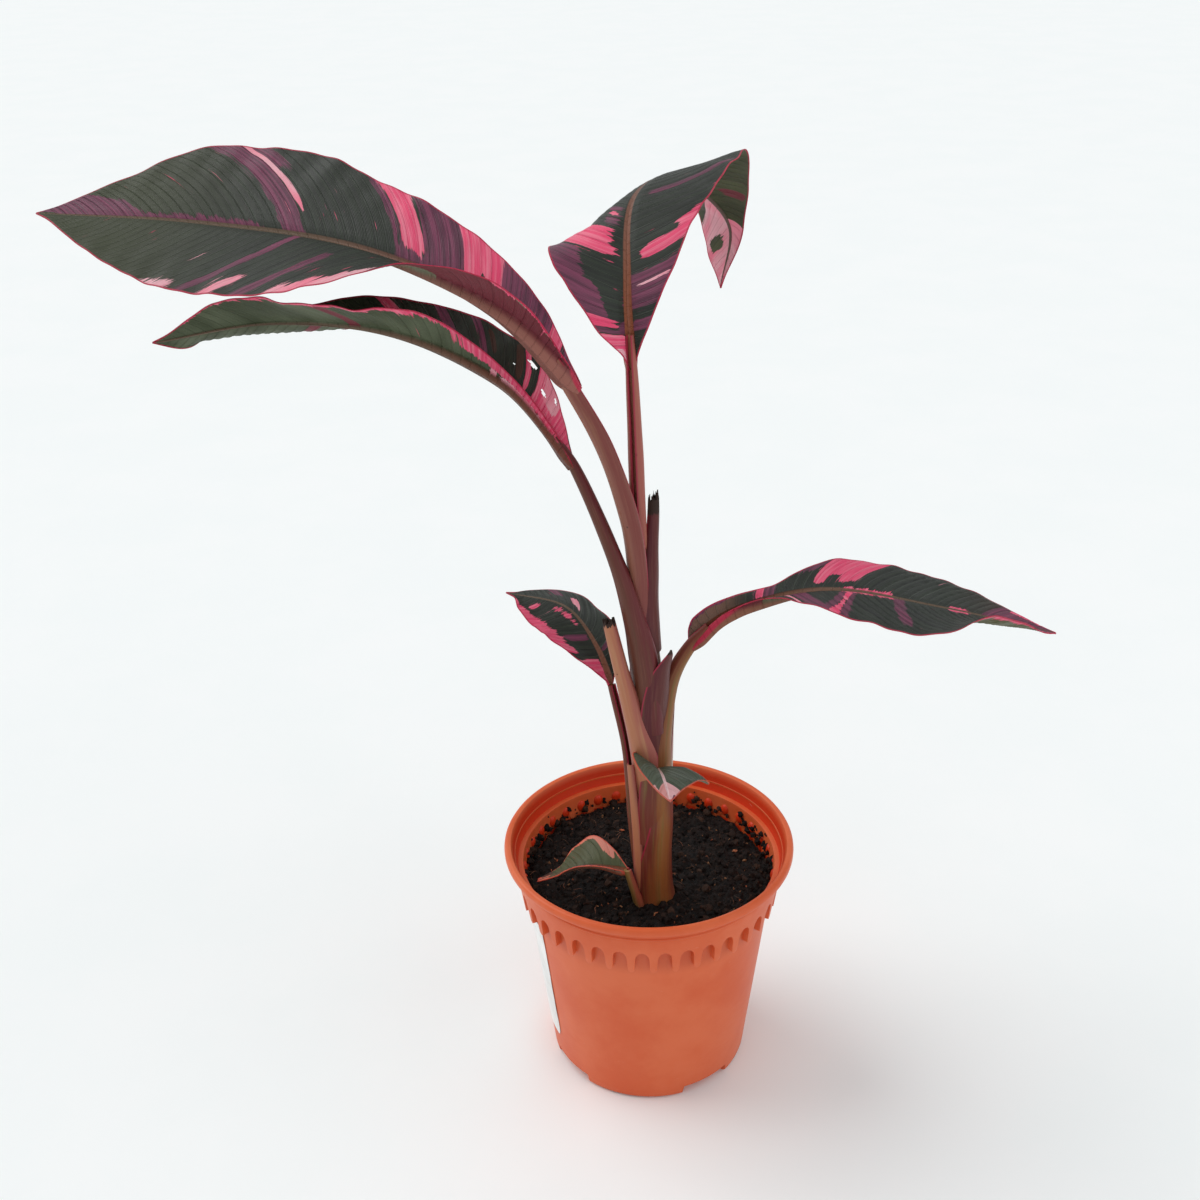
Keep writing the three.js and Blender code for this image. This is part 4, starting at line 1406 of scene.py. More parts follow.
def stem_pieces() -> list[Sheath]:
    """Gives the stem's core, the stalks and the sheaths that wrap it, from the inside outwards."""
    return [
        Sheath(
            "stem_core", "pseudostem", "sheath",
            [
                [3, -31, 146, 14.5, 13, 180, 180, 5], [2, -31, 160, 12.5, 11.5, 180, 180, 5],
                [1, -30, 200, 12.3, 11.3, 180, 180, 5], [1, -29, 250, 12.6, 11, 180, 180, 5],
                [-1, -28, 290, 11.6, 10, 180, 180, 5], [-3, -27, 335, 9.6, 8.6, 180, 180, 5],
                [-6, -27, 380, 7.2, 6.8, 180, 180, 4], [-7, -27, 415, 5.2, 5, 180, 180, 3],
            ],
            0, CORE_SKIN, seed=2,
        ),
        Sheath(
            "stalk_top", "petiole_top", "petiole",
            [
                [-6, -27, 396, 5.2, 5, 166, 166, 4], [-8, -26, 470, 4.6, 4.3, 166, 166, 3.4],
                [-10, -24, 520, 3.6, 3.5, 160, 160, 2.6], [-11, -22, 541, 2.4, 2.4, 150, 150, 2],
            ],
            160, TAN_STALK, seed=3,
        ),
        Sheath(
            "stalk_upper_left", "petiole_upper_left", "petiole",
            [
                [-5, -29, 356, 8, 7, 130, 130, 2.5], [-9, -32, 415, 8.2, 6.2, 138, 138, 3.4],
                [-14, -33, 440, 7.2, 6, 145, 145, 4], [-27, -35, 480, 6.4, 5.4, 150, 150, 3.8],
                [-45, -39, 517, 5.2, 4.9, 140, 140, 3], [-54, -41, 533, 3.6, 3.6, 150, 150, 2.6],
            ],
            -75, ROSE_STALK, seed=4,
        ),
        Sheath(
            "dried_stub_sheath", "dried_stub", "dried_sheath",
            [
                [-2, -28, 340, 10, 9.5, 80, 120, 1.6], [-3, -28, 370, 9, 8.6, 95, 120, 1.4],
                [-2, -27, 390, 8, 7.6, 100, 120, 1.3], [0, -24, 408, 6, 5.6, 95, 120, 1.2],
                [2, -21, 428, 4.6, 4.2, 110, 130, 1.1], [2.5, -20, 446, 3.6, 3.2, 120, 140, 0.9],
            ],
            60, DARK_SHEATH, dry=((0, 0), (0.78, 0), (0.9, 1), (1, 1.4)), ragged=7, seed=5,
        ),
        Sheath(
            "stalk_lower_left", "petiole_lower_left", "petiole",
            [
                [0, -37, 286, 10, 7, 125, 125, 2.5], [-4, -36, 335, 10.2, 7.6, 125, 122, 2.6],
                [-9, -36, 362, 8, 6.4, 130, 125, 3], [-19, -35, 400, 5.2, 5, 145, 145, 3.4],
                [-45, -24, 463, 3.3, 3.3, 140, 140, 2.4], [-56, -23, 480, 2.4, 2.4, 150, 150, 2],
            ],
            -42, MAROON_STALK, seed=6,
        ),
        Sheath(
            "bract_sheath", "", "sheath",
            [
                [-1, -33, 262, 12.6, 12.5, 70, 95, 1.2], [-1, -33, 300, 12.4, 12.4, 66, 92, 1.1],
                [0, -33, 318, 12, 12.3, 58, 82, 1.0], [1.5, -33, 332, 11, 12, 44, 60, 0.9],
                [4, -33.5, 342, 9.5, 11.5, 26, 36, 0.8], [6, -34, 349, 8.5, 11, 4, 5, 0.7],
            ],
            40, DARK_SHEATH, dry=((0, 0), (0.9, 0), (1, 0.9)), seed=7,
        ),
        Sheath(
            "stalk_back", "petiole_back", "petiole",
            [
                [-5, -36, 152, 4.5, 3.5, 150, 150, 3], [-11, -28, 210, 4, 3.2, 150, 150, 2.6],
                [-15, -18, 260, 3.3, 2.9, 150, 150, 2.3], [-24, -7, 302, 2.8, 2.6, 150, 150, 2],
            ],
            -140, GOLD_STALK, seed=8,
        ),
        Sheath(
            "cut_stump_stalk", "cut_stump", "petiole",
            [
                [-1, -33, 232, 11.5, 7, 100, 70, 1.4], [-3, -38, 268, 10, 8.6, 105, 80, 1.6],
                [-12, -39, 305, 6.6, 6, 120, 112, 2.2], [-18, -39, 330, 5, 4.7, 138, 134, 2.6],
                [-26, -36, 367, 4, 3.8, 150, 150, 2.6],
            ],
            -30, TAN_STALK, dry=((0, 0), (0.965, 0), (0.985, 1), (1, 1.5)), ragged=2.4, seed=9,
        ),
        Sheath(
            "stalk_right", "petiole_right", "petiole",
            [
                [2, -31, 200, 13.4, 12.4, 100, 100, 1.4], [2, -33, 240, 13, 12, 100, 95, 1.6],
                [7, -35, 285, 7.6, 7, 120, 115, 2.6], [14, -27, 318, 5.4, 5, 150, 150, 3.4],
                [26, -24, 340, 4.3, 4.1, 140, 140, 2.8], [37, -24, 353, 2.8, 2.8, 150, 150, 2.2],
            ],
            52, GOLD_STALK, seed=10,
        ),
        Sheath(
            "right_sheath", "", "sheath",
            [
                [3, -30, 236, 13.4, 12, 40, 60, 0.9], [3, -30, 268, 13.4, 12, 34, 55, 0.8],
                [4, -29, 292, 12.6, 11.5, 20, 40, 0.7], [5, -28, 310, 12.4, 11, 3, 5, 0.6],
            ],
            95, PALE_SHEATH, seed=11,
        ),
        Sheath(
            "front_stalk", "petiole_front", "petiole",
            [
                [3, -31, 146, 15, 13.6, 105, 105, 1.6], [2, -31, 162, 13.4, 12.8, 100, 100, 1.6],
                [1.5, -31, 186, 13, 12.9, 62, 96, 1.4], [2, -31.5, 210, 13, 12.9, 38, 84, 1.2],
                [3, -32, 236, 12.2, 12.6, 24, 52, 1.1], [5, -36, 258, 7, 9, 30, 40, 1.0],
            ],
            22, GOLD_STALK, seed=12,
        ),
        Sheath(
            "side_strip", "", "sheath",
            [
                [-5, -36, 160, 6, 5, 60, 90, 1.4], [-9, -38, 212, 3.5, 3, 110, 120, 1.8],
                [-13, -40, 262, 2.4, 2.2, 110, 110, 1.2],
            ],
            -30, TAN_STALK, seed=13,
        ),
        Sheath(
            "low_stalk", "petiole_low", "petiole",
            [
                [-7, -40, 147, 4.4, 3.8, 150, 150, 3], [-11, -41, 162, 3.2, 3, 150, 150, 2.4],
                [-15.5, -40, 178, 2.8, 2.6, 145, 145, 2],
            ],
            -60, OLIVE_STALK, seed=14,
        ),
    ]


def leaves() -> list[Leaf]:
    """Gives the seven blades."""
    upper_left = Leaf(
        "leaf_upper_left", ("blade_upper_left",),
        rib=[[-40, -38, 515], [-85, -40, 563], [-155, -25, 593], [-250, 0, 604], [-348, 14, 608]],
        face=(0.7, 0, 0.7),
        stations=[
            [0, 2.5, 2.5, 60, 66, 0, 0], [0.04, 8, 6, 46, 66, 0, 0], [0.09, 16.5, 9.5, 42, 66, 0, 0],
            [0.2, 27.5, 20, 44, 50, 0, 0], [0.29, 35, 30, 46, 24, 0, 0], [0.36, 41, 42, 45, 4, 0, 0],
            [0.46, 49, 54, 46, -16, -10, -6], [0.58, 59.5, 57, 48, -28, -10, -6],
            [0.72, 59, 54, 46, -33, -8, -5],
            [0.84, 40, 38.5, 38, -36, 0, 0], [0.93, 17.5, 18, 34, -32, 0, 0], [0.98, 4.6, 4.6, 30, -25, 0, 0],
            [1, 0.5, 0.5, 30, -25, 0, 0],
        ],
        rib_radius=((0, 3.4), (0.035, 4.9), (0.1, 4.2), (0.2, 3.4), (0.4, 2.4), (0.7, 1.5), (1, 0.4)),
        patches=(
            Patch(Tint.MAUVE, Side.RIGHT, -0.3, 0.375),
            Patch(Tint.HOT, Side.RIGHT, 0.06, 0.09, 0.5, 1.1, 0.02),
            Patch(Tint.HOT, Side.RIGHT, 0.195, 0.258, 0.12, 1.1, 0.02),
            Patch(Tint.HOT, Side.RIGHT, 0.322, 0.362, 0.2, 1.1, 0.02),
            Patch(Tint.GREEN, Side.RIGHT, 0.218, 0.232, 0.15, 0.4, 0.02),
            Patch(Tint.MAUVE, Side.RIGHT, 0.528, 0.568),
            Patch(Tint.MAUVE, Side.RIGHT, 0.49, 0.56, 0.72, 1.1, 0.03),
            Patch(Tint.PALE, Side.RIGHT, 0.514, 0.524, 0.3, 1.1, 0.012),
            Patch(Tint.MAUVE, Side.RIGHT, 0.60, 0.86, -0.1, 0.07, 0.05),
            Patch(Tint.MAUVE, Side.RIGHT, 0.80, 0.955, lean=-0.075),
            Patch(Tint.MAUVE, Side.LEFT, -0.3, 0.26),
            Patch(Tint.HOT, Side.LEFT, 0.195, 0.235, 0.1, 1.1, 0.02),
            Patch(Tint.MAUVE, Side.LEFT, 0.285, 0.30, 0.0, 1.1, 0.02),
            Patch(Tint.MAUVE, Side.LEFT, 0.43, 0.452, 0.3, 1.1, 0.02),
            Patch(Tint.MAUVE, Side.LEFT, 0.53, 0.545, 0.0, 1.1, 0.015),
            Patch(Tint.PALE, Side.LEFT, 0.30, 0.40, 0.84, 1.1, 0.04),
            Patch(Tint.PALE, Side.LEFT, 0.48, 0.51, 0.72, 1.1, 0.03),
            Patch(Tint.PALE, Side.LEFT, 0.56, 0.62, 0.9, 1.1, 0.03),
        ),
        under_patches=(
            Patch(Tint.MAUVE, Side.LEFT, -0.3, 0.30),
            Patch(Tint.MAUVE, Side.RIGHT, -0.3, 0.36),
            Patch(Tint.HOT, Side.RIGHT, 0.195, 0.25, 0.3, 1.1, 0.02),
            Patch(Tint.HOT, Side.LEFT, 0.02, 0.20, 0.9, 1.1, 0.04),
            Patch(Tint.MAUVE, Side.RIGHT, 0.50, 0.56),
            Patch(Tint.MAUVE, Side.BOTH, 0.82, 1.0),
        ),
        olive=((0, 0.0), (0.6, 0.05), (0.85, 0.55), (1, 0.7)),
        finish=LeafFinish("blade_rose", rib_base=screen(150, 92, 80)),
        seed=1,
    )
    lower_left = Leaf(
        "leaf_lower_left", ("blade_lower_left",),
        rib=[[-45, -24, 462], [-85, -22, 513], [-140, -20, 543], [-210, -17, 551], [-285, -13, 539]],
        face=(0.7, 0, 0.7),
        stations=[
            [0, 2, 2, 70, 80, 0, 0], [0.04, 6.5, 3.6, 66, 82, 0, 0],
            [0.1, 15, 5, 62, 85, -10, 0], [0.22, 28, 7, 50, 85, 0, 20],
            [0.33, 32, 12, 22, 65, 30, 40], [0.45, 34, 20, -25, 50, 110, 30], [0.57, 36, 25, -50, 36, 145, 0],
            [0.7, 36, 27, -72, 40, 155, 0], [0.81, 29, 21, -75, 60, 155, 0], [0.9, 18, 11, -70, 75, 100, 0],
            [0.97, 6, 3, -60, 70, 0, 0], [1, 0.5, 0.5, -60, 70, 0, 0],
        ],
        rib_radius=((0, 2.2), (0.035, 3.2), (0.1, 3.0), (0.3, 2.4), (0.6, 1.5), (1, 0.4)),
        patches=(
            Patch(Tint.HOT, Side.RIGHT, -0.3, 0.17),
            Patch(Tint.PALE, Side.RIGHT, 0.10, 0.15, 0.5, 1.1, 0.03),
            Patch(Tint.MAUVE, Side.RIGHT, 0.0, 0.06, 0.3, 0.8, 0.03),
            Patch(Tint.HOT, Side.RIGHT, 0.185, 0.195, 0.2, 1.1, 0.01),
            Patch(Tint.MAUVE, Side.RIGHT, 0.275, 0.29, 0.2, 1.1, 0.015),
            Patch(Tint.MAUVE, Side.RIGHT, 0.33, 0.35, 0.3, 1.1, 0.015),
            Patch(Tint.HOT, Side.RIGHT, 0.42, 0.44, 0.7, 1.1, 0.02),
            Patch(Tint.HOT, Side.LEFT, -0.3, 0.22),
            Patch(Tint.MAUVE, Side.LEFT, 0.30, 0.36),
            Patch(Tint.HOT, Side.LEFT, 0.2, 0.6, 0.85, 1.1),
        ),
        under_patches=(
            Patch(Tint.MAUVE, Side.BOTH, -0.3, 0.2),
            Patch(Tint.PALE, Side.LEFT, 0.08, 0.26, 0.2, 0.7, 0.12),
            Patch(Tint.HOT, Side.LEFT, 0.06, 0.34, 0.5, 1.1, 0.10),
            Patch(Tint.HOT, Side.LEFT, 0.3, 0.62, 0.88, 1.1, 0.10),
            Patch(Tint.MAUVE, Side.LEFT, 0.55, 0.575, 0.0, 1.1, 0.01),
            Patch(Tint.MAUVE, Side.RIGHT, 0.56, 0.575, 0.0, 0.6, 0.01),
            Patch(Tint.MAUVE, Side.RIGHT, 0.63, 0.65, 0.0, 0.6, 0.02),
            Patch(Tint.HOT, Side.LEFT, 0.6, 1.0, 0.93, 1.1, 0.04),
        ),
        scars=(
            Patch(Tint.GREEN, Side.RIGHT, 0.20, 0.215, 0.3, 0.95, 0.02),
            Patch(Tint.GREEN, Side.RIGHT, 0.255, 0.265, 0.45, 0.9, 0.015),
            Patch(Tint.GREEN, Side.RIGHT, 0.02, 0.06, 0.93, 1.1, 0.03),
        ),
        holes=(
            Hole(0.16, 0.62, 3.4, 1.3), Hole(0.21, 0.80, 4.2, 1.6), Hole(0.13, 0.86, 2.4, 1.4),
            Hole(0.24, 0.52, 1.6, 0.9),
        ),
        olive=((0, 0.0), (0.55, 0.2), (0.8, 0.8), (1, 0.9)),
        wave=2.2,
        finish=LeafFinish(
            "blade_maroon", rib_base=screen(118, 66, 50), under=screen(52, 62, 34),
            under_light=screen(92, 100, 76),
        ),
        seed=2,
    )
    top = Leaf(
        "leaf_top", ("blade_top", "blade_top_tip"),
        rib=[
            [-10, -24, 521], [-12, -15, 568], [-8, 20, 608],
            [20, 74, 610], [57, 110, 570], [52, 112, 530],
        ],
        face=(0.1, -1, 0),
        stations=[
            [0, 2, 2, 50, 50, 0, 0], [0.03, 4.5, 5.5, 34, 34, 0, 0], [0.06, 8, 13, 30, 30, 0, 0],
            [0.09, 12, 21, 27, 28, 0, 0], [0.13, 17, 28, 24, 25, 0, 0], [0.17, 22, 37, 21, 18, 0, 0],
            [0.215, 28, 43, 19, 8, 0, 0], [0.25, 32, 44.5, 18, 0, 0, -8], [0.3, 37, 43, 18, -8, 0, -45],
            [0.34, 41, 42, 19, -20, 0, -70], [0.43, 48, 39, 26, -46, 0, -50], [0.53, 52, 36, 36, -62, 0, -30],
            [0.63, 47, 38, 42, -55, 0, -30], [0.75, 27, 38, 40, -20, 0, 0], [0.85, 9, 36, 40, 0, 0, 0],
            [0.93, 4, 22, 20, 0, 0, 0], [0.98, 1.5, 6, 0, 0, 0, 0], [1, 0.5, 0.5, 0, 0, 0, 0],
        ],
        rib_radius=((0, 2.2), (0.03, 3.3), (0.1, 2.9), (0.3, 2.0), (0.6, 1.4), (1, 0.4)),
        patches=(
            Patch(Tint.HOT, Side.LEFT, -0.3, 0.075, 0.15),
            Patch(Tint.PALE, Side.LEFT, -0.02, 0.045, 0.5, 0.95, 0.03),
            Patch(Tint.MAUVE, Side.LEFT, 0.075, 0.16),
            Patch(Tint.HOT, Side.LEFT, 0.085, 0.10, 0.3, 1.1, 0.015),
            Patch(Tint.GREEN, Side.LEFT, 0.10, 0.21, 0.08, 0.52, 0.03),
            Patch(Tint.MAUVE, Side.LEFT, 0.14, 0.22, 0.62, 1.1),
            Patch(Tint.HOT, Side.LEFT, 0.222, 0.285, 0.18, 1.1, 0.02),
            Patch(Tint.MAUVE, Side.LEFT, 0.295, 0.345, 0.1, 0.34),
            Patch(Tint.HOT, Side.LEFT, 0.315, 0.335, 0.14, 0.3, 0.02),
            Patch(Tint.HOT, Side.LEFT, 0.35, 0.385, 0.72, 1.1, 0.02),
            Patch(Tint.MAUVE, Side.LEFT, 0.40, 0.425, 0.3, 1.1),
            Patch(Tint.MAUVE, Side.LEFT, 0.565, 0.59, 0.0, 0.8, 0.015, 0.05),
            Patch(Tint.MAUVE, Side.RIGHT, 0.08, 0.10, 0.2, 1.1, 0.01),
            Patch(Tint.MAUVE, Side.RIGHT, 0.12, 0.195),
            Patch(Tint.PALE, Side.RIGHT, 0.165, 0.172, 0.2, 1.0, 0.01),
            Patch(Tint.HOT, Side.RIGHT, 0.218, 0.242, 0.3, 1.1, 0.015),
            Patch(Tint.HOT, Side.RIGHT, 0.225, 0.275, 0.8, 1.1, 0.02),
            Patch(Tint.MAUVE, Side.RIGHT, 0.375, 0.395, 0.2, 0.95, 0.015),
            Patch(Tint.MAUVE, Side.RIGHT, 0.575, 0.60, 0.0, 0.7, 0.015, 0.08),
            Patch(Tint.HOT, Side.BOTH, 0.72, 0.75, 0.0, 1.1, 0.015),
        ),
        under_patches=(
            Patch(Tint.HOT, Side.LEFT, -0.3, 0.10),
            Patch(Tint.MAUVE, Side.BOTH, 0.12, 0.2),
            Patch(Tint.PALE, Side.LEFT, 0.735, 1.2, soft=0.02),
            Patch(Tint.PALE, Side.RIGHT, 0.82, 1.2, soft=0.02),
            Patch(Tint.MAUVE, Side.RIGHT, 0.69, 0.72, 0.3, 0.9, 0.02),
            Patch(Tint.GREEN, Side.LEFT, 0.855, 0.895, 0.3, 0.8, 0.02, 0.05),
        ),
        holes=(Hole(0.21, -0.86, 1.3, 1.0), Hole(0.225, -0.80, 0.9, 0.8)),
        finish=LeafFinish(
            "blade_salmon", rib_base=screen(156, 92, 66), rib_tip=screen(96, 76, 66), under=screen(50, 54, 28),
            under_light=screen(76, 80, 50),
        ),
        seed=3,
    )
    right = Leaf(
        "leaf_right", ("blade_right",),
        rib=[[26, -24, 339], [48, -24, 360], [105, -25, 378], [180, -28, 366], [254, -28, 346]],
        face=(-0.7, 0, 0.7),
        stations=[
            [0, 2, 3, 60, 60, 0, 0], [0.03, 3, 9.5, 60, 66, 0, 0],
            [0.06, 3, 12, 60, 70, 0, 0], [0.16, 4, 10, 60, 50, 0, 0],
            [0.25, 9, 9, 30, 30, 0, 0], [0.32, 19, 15, 8, 26, 0, 0], [0.38, 27, 24, 0, 16, 0, 0],
            [0.44, 33, 32, -4, 10, 0, 0],
            [0.58, 40, 38, -4, 5, 0, 0], [0.7, 36, 36, -8, 4, 30, 0], [0.8, 28, 27, -15, 4, 90, 0],
            [0.88, 18, 17, -10, 4, 80, 0], [0.95, 8, 6, 0, 4, 30, 0], [1, 0.5, 0.5, 0, 4, 0, 0],
        ],
        rib_radius=((0, 2.7), (0.04, 4.0), (0.1, 3.5), (0.25, 2.7), (0.5, 1.7), (1, 0.4)),
        patches=(
            Patch(Tint.MAUVE, Side.LEFT, -0.3, 0.15, 0.86, 1.1),
            Patch(Tint.MAUVE, Side.LEFT, 0.20, 0.255),
            Patch(Tint.HOT, Side.LEFT, 0.205, 0.225, 0.3, 1.1, 0.015),
            Patch(Tint.HOT, Side.LEFT, 0.345, 0.44, 0.24, 1.1, 0.025),
            Patch(Tint.GREEN, Side.LEFT, 0.375, 0.40, 0.2, 0.48, 0.025),
            Patch(Tint.MAUVE, Side.LEFT, 0.30, 0.345, 0.8, 1.1),
            Patch(Tint.MAUVE, Side.LEFT, 0.79, 1.2),
            Patch(Tint.HOT, Side.LEFT, 0.82, 1.2, 0.7, 1.1),
            Patch(Tint.HOT, Side.BOTH, 0.42, 0.56, -0.1, 0.08, 0.03),
            Patch(Tint.HOT, Side.BOTH, 0.70, 0.76, -0.1, 0.08, 0.03),
            Patch(Tint.PALE, Side.RIGHT, 0.165, 0.185, 0.2, 1.1, 0.02),
            Patch(Tint.PALE, Side.RIGHT, 0.275, 0.285, soft=0.01),
            Patch(Tint.MAUVE, Side.RIGHT, 0.29, 0.33),
            Patch(Tint.MAUVE, Side.RIGHT, 0.43, 0.47, 0.0, 1.1, 0.02, 0.13),
            Patch(Tint.HOT, Side.RIGHT, 0.445, 0.458, 0.0, 1.1, 0.015, 0.13),
            Patch(Tint.MAUVE, Side.RIGHT, 0.56, 0.59, 0.0, 0.8, 0.02, 0.12),
            Patch(Tint.MAUVE, Side.RIGHT, 0.80, 1.2),
            Patch(Tint.HOT, Side.RIGHT, 0.70, 1.2, 0.85, 1.1),
        ),
        under_patches=(
            Patch(Tint.MAUVE, Side.BOTH, -0.3, 0.22),
            Patch(Tint.HOT, Side.LEFT, 0.345, 0.43, 0.24, 1.1),
            Patch(Tint.HOT, Side.RIGHT, 0.6, 1.2, 0.9, 1.1),
        ),
        olive=((0, 1.0), (0.12, 0.9), (0.2, 0.0), (0.7, 0.0), (1, 0.4)),
        finish=LeafFinish(
            "blade_right", olive=screen(116, 82, 66), rib_base=screen(138, 84, 62), under=screen(84, 84, 46)
        ),
        seed=4,
    )
    back = Leaf(
        "leaf_back", ("blade_back",),
        rib=[[-24, -6, 302], [-33, 3, 325], [-52, 19, 346], [-93, 40, 347]],
        face=(0.5, -0.6, 0.6),
        stations=[
            [0, 1.4, 1.4, 20, 0, 0, 40], [0.12, 9, 10, 15, -30, 0, 60], [0.3, 20, 22, 0, -45, 0, 80],
            [0.5, 24, 28, -20, -50, 0, 80], [0.7, 20, 24, -20, -50, 0, 70], [0.86, 9, 12, -10, -30, 0, 40],
            [0.93, 3, 3, 0, 0, 0, 0], [1, 0.5, 0.5, 0, 0, 0, 0],
        ],
        rib_radius=((0, 1.7), (0.06, 2.4), (0.2, 1.9), (1, 0.3)),
        patches=(
            Patch(Tint.HOT, Side.LEFT, -0.3, 0.16, 0.2, 1.1),
            Patch(Tint.HOT, Side.LEFT, 0.2, 0.86, 0.68, 1.1, 0.04),
            Patch(Tint.HOT, Side.LEFT, 0.40, 0.62, 0.12, 0.2, 0.03),
            Patch(Tint.HOT, Side.LEFT, 0.70, 0.74, 0.2, 0.5, 0.03),
            Patch(Tint.PALE, Side.RIGHT, 0.46, 0.52, 0.25, 0.6, 0.04),
            Patch(Tint.MAUVE, Side.RIGHT, 0.56, 0.63, 0.5, 1.1, 0.04),
            Patch(Tint.MAUVE, Side.RIGHT, 0.20, 0.23, 0.1, 1.0, 0.02),
            Patch(Tint.MAUVE, Side.LEFT, 0.30, 0.34, 0.1, 0.6, 0.02),
        ),
        under_patches=(
            Patch(Tint.HOT, Side.LEFT, -0.3, 1.0, 0.3, 1.1, 0.05),
            Patch(Tint.PALE, Side.LEFT, 0.25, 0.5, 0.75, 1.1, 0.05),
            Patch(Tint.MAUVE, Side.RIGHT, 0.2, 0.6),
        ),
        finish=LeafFinish("blade_gold", rib_base=screen(138, 84, 62), under=screen(84, 84, 46)),
        rows=130, columns=30, pitch=5.0, seed=5,
    )
    low = Leaf(
        "leaf_low", ("blade_low",),
        rib=[[-15, -40, 177], [-42, -32, 176], [-77, -20, 155]],
        face=(0, -0.3, 1),
        stations=[
            [0, 1.4, 1.4, 30, 40, 0, 0], [0.2, 14, 6, 20, 50, 0, 0], [0.42, 23, 8, 10, 50, 0, 0],
            [0.62, 19, 7, 0, 40, 0, 0], [0.74, 6, 4, 0, 20, 0, 0], [1, 1.5, 1.5, 0, 10, 0, 0],
        ],
        rib_radius=((0, 1.5), (0.06, 2.2), (0.25, 1.3), (1, 0.3)),
        patches=(
            Patch(Tint.PALE, Side.BOTH, 0.0, 0.86, 0.86, 1.2, 0.04),
            Patch(Tint.PALE, Side.RIGHT, 0.12, 0.22, 0.55, 1.2, 0.06),
            Patch(Tint.PALE, Side.BOTH, 0.84, 1.2, -0.1, 1.2, 0.05),
            Patch(Tint.MAUVE, Side.LEFT, 0.1, 0.5, 0.4, 0.9, 0.05),
        ),
        scars=(Patch(Tint.GREEN, Side.RIGHT, 0.78, 0.93, 0.3, 1.2, 0.05),),
        olive=((0, 0.75), (1, 0.75)),
        finish=LeafFinish(
            "blade_salmon_edge", olive=screen(84, 88, 50), pale=screen(226, 120, 92),
            rose=screen(206, 128, 112),
            margin=screen(204, 84, 62), rib_base=screen(140, 84, 60), under=screen(120, 100, 80),
        ),
        rows=110, columns=26, pitch=4.0, wave=1.0, seed=6,
    )
    front = Leaf(
        "leaf_front", ("blade_front",),
        rib=[[4, -44, 262], [7, -60, 266], [11, -78, 259]],
        face=(0, 0, 1),
        stations=[
            [0, 17, 20, 44, -4, 0, -10], [0.2, 21, 33, 38, -14, 0, -14], [0.4, 18, 33, 28, -20, 0, 0],
            [0.6, 12, 21, 18, -22, 0, 20], [0.82, 6, 9, 8, -12, 0, 20], [1, 0.6, 0.6, 0, 0, 0, 0],
        ],
        rib_radius=((0, 1.0), (0.5, 1.2), (1, 0.5)),
        patches=(
            Patch(Tint.PALE, Side.BOTH, 0.60, 1.2, -0.1, 1.1, 0.12),
            Patch(Tint.MAUVE, Side.LEFT, 0.78, 1.2, 0.5, 1.1, 0.1),
            Patch(Tint.PALE, Side.RIGHT, 0.45, 0.8, 0.8, 1.1, 0.1),
        ),
        olive=((0, 0.25), (1, 0.25)),
        finish=LeafFinish(
            "blade_grey", green=screen(98, 108, 94), deep=screen(74, 82, 70), pale=screen(238, 190, 196),
            rose=screen(214, 130, 120), margin=screen(206, 88, 66), rib_base=screen(214, 176, 166),
            rib_tip=screen(236, 196, 198), under=screen(128, 120, 100),
        ),
        rows=80, columns=30, pitch=4.0, wave=0.8, seed=7,
    )
    return [upper_left, lower_left, top, right, back, low, front]


# ---------------------------------------------------------------- studio


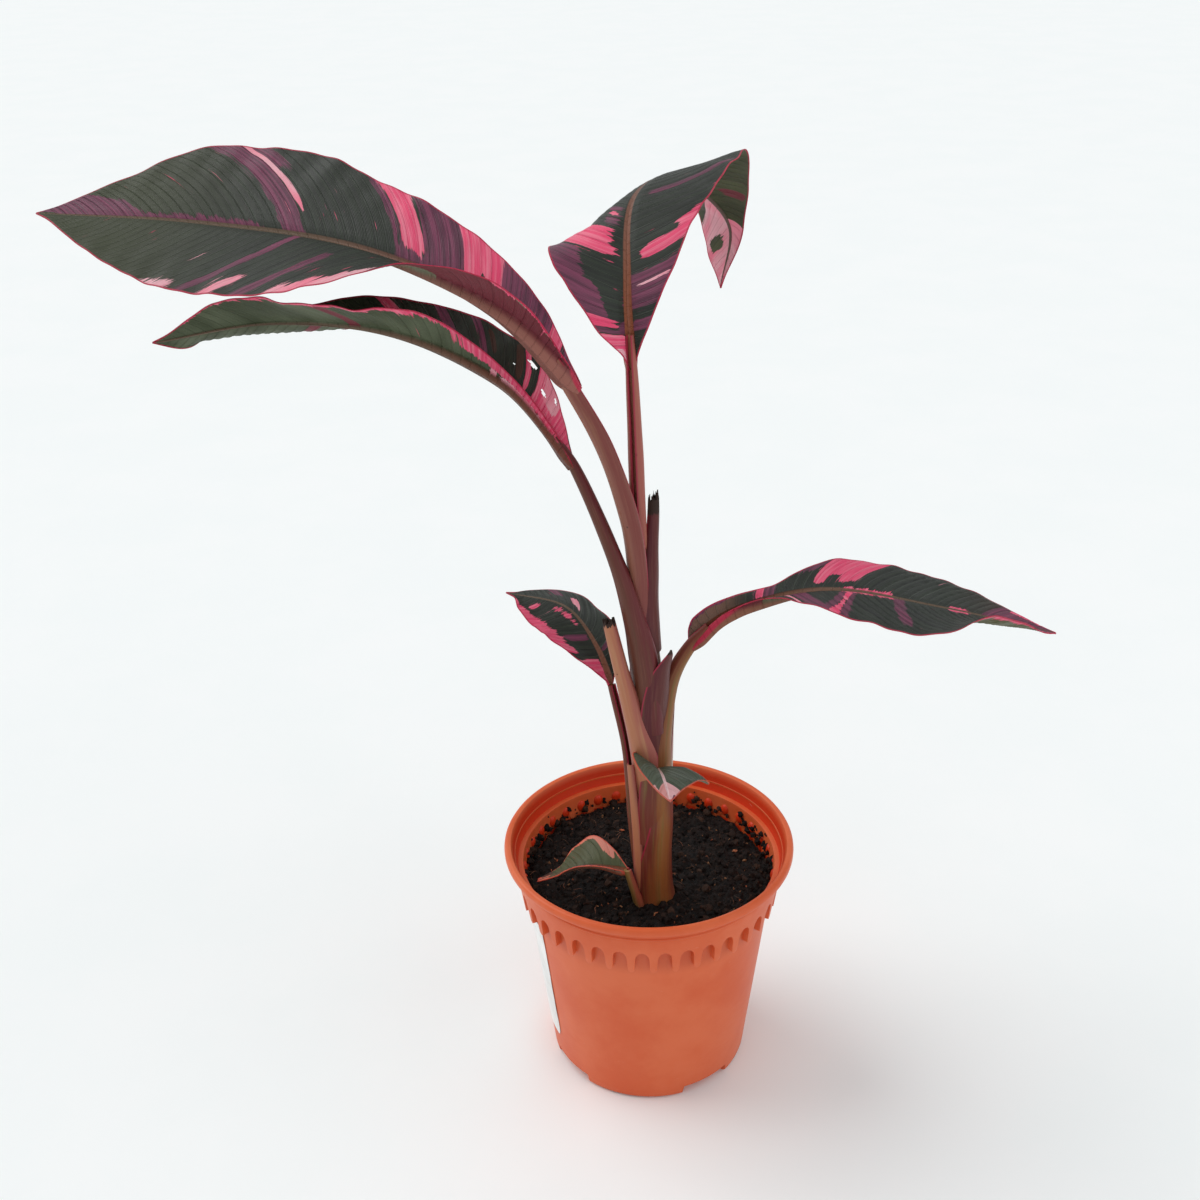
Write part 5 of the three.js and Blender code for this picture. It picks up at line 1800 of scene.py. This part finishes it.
@dataclass
class Studio:
    """The pale floor, soft lights and camera."""

    camera_at: Colour = (-30.6, -850.0, 797.0)
    pitch: float = 27.18
    roll: float = -1.05
    lens: float = 45.0

    def aim_camera(self) -> None:
        """Stands the camera in front, looking down at the plant."""
        data = bpy.data.cameras.new("camera")
        data.lens = self.lens
        data.sensor_width = 36
        data.clip_end = 100
        camera = bpy.data.objects.new("camera", data)
        bpy.context.scene.collection.objects.link(camera)
        down, lean = math.radians(self.pitch), math.radians(self.roll)
        ahead = Vector((0, math.cos(down), -math.sin(down)))
        level = Vector((1, 0, 0))
        upright = level.cross(ahead)
        side = level * math.cos(lean) + upright * math.sin(lean)
        top = upright * math.cos(lean) - level * math.sin(lean)
        turn = Matrix((side, top, -ahead)).transposed().to_4x4()
        camera.matrix_world = Matrix.Translation(Vector(self.camera_at) * MM) @ turn
        bpy.context.scene.camera = camera

    def add_light(self, name: str, way: Colour, spread: float, power: float, tone: Colour) -> None:
        """Adds one soft light that comes from a direction, spread over some degrees of the sky."""
        data = bpy.data.lights.new(name, "SUN")
        data.angle = math.radians(spread)
        data.energy = power
        data.color = tone
        light = bpy.data.objects.new(name, data)
        bpy.context.scene.collection.objects.link(light)
        light.matrix_world = Vector(way).to_track_quat("Z", "Y").to_matrix().to_4x4()

    def build(self) -> None:
        """Lays the floor, lights the plant and sets the camera."""
        bpy.ops.object.select_all(action="DESELECT")
        bpy.ops.mesh.primitive_plane_add(size=60)
        floor = bpy.context.object
        floor.name = "floor"
        FloorFinish().dress(floor)
        world = bpy.data.worlds.new("studio")
        world.use_nodes = True
        sky = world.node_tree.nodes["Background"].inputs
        sky["Color"].default_value = (0.965, 0.99, 1.0, 1)
        sky["Strength"].default_value = 0.60
        bpy.context.scene.world = world
        self.add_light("key", (-0.62, 0.25, 0.75), 48, 1.35, (1, 0.99, 0.98))
        self.add_light("fill", (0.75, -0.25, 0.62), 60, 0.45, (0.98, 0.99, 1))
        self.aim_camera()
        bpy.context.scene.view_settings.view_transform = "Standard"


def main() -> None:
    """Builds the studio, the pot and the plant round the frame."""
    logging.basicConfig(level=logging.INFO, format="%(name)s: %(message)s")
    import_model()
    Studio().build()
    pot_low, pot_high = (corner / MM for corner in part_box("pot"))
    pot = Pot(height=pot_high.z - pot_low.z, rim=pot_high.x)
    pot.hand_in()
    label_low, label_high = (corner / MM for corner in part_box("label"))
    Label(pot, label_low.z, min(label_high.z, 129)).hand_in()
    Compost(pot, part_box("compost")[1].z / MM).hand_in()
    for sheath in stem_pieces():
        sheath.hand_in()
    for leaf in leaves():
        leaf.hand_in()


if __name__ == "__main__":
    main()
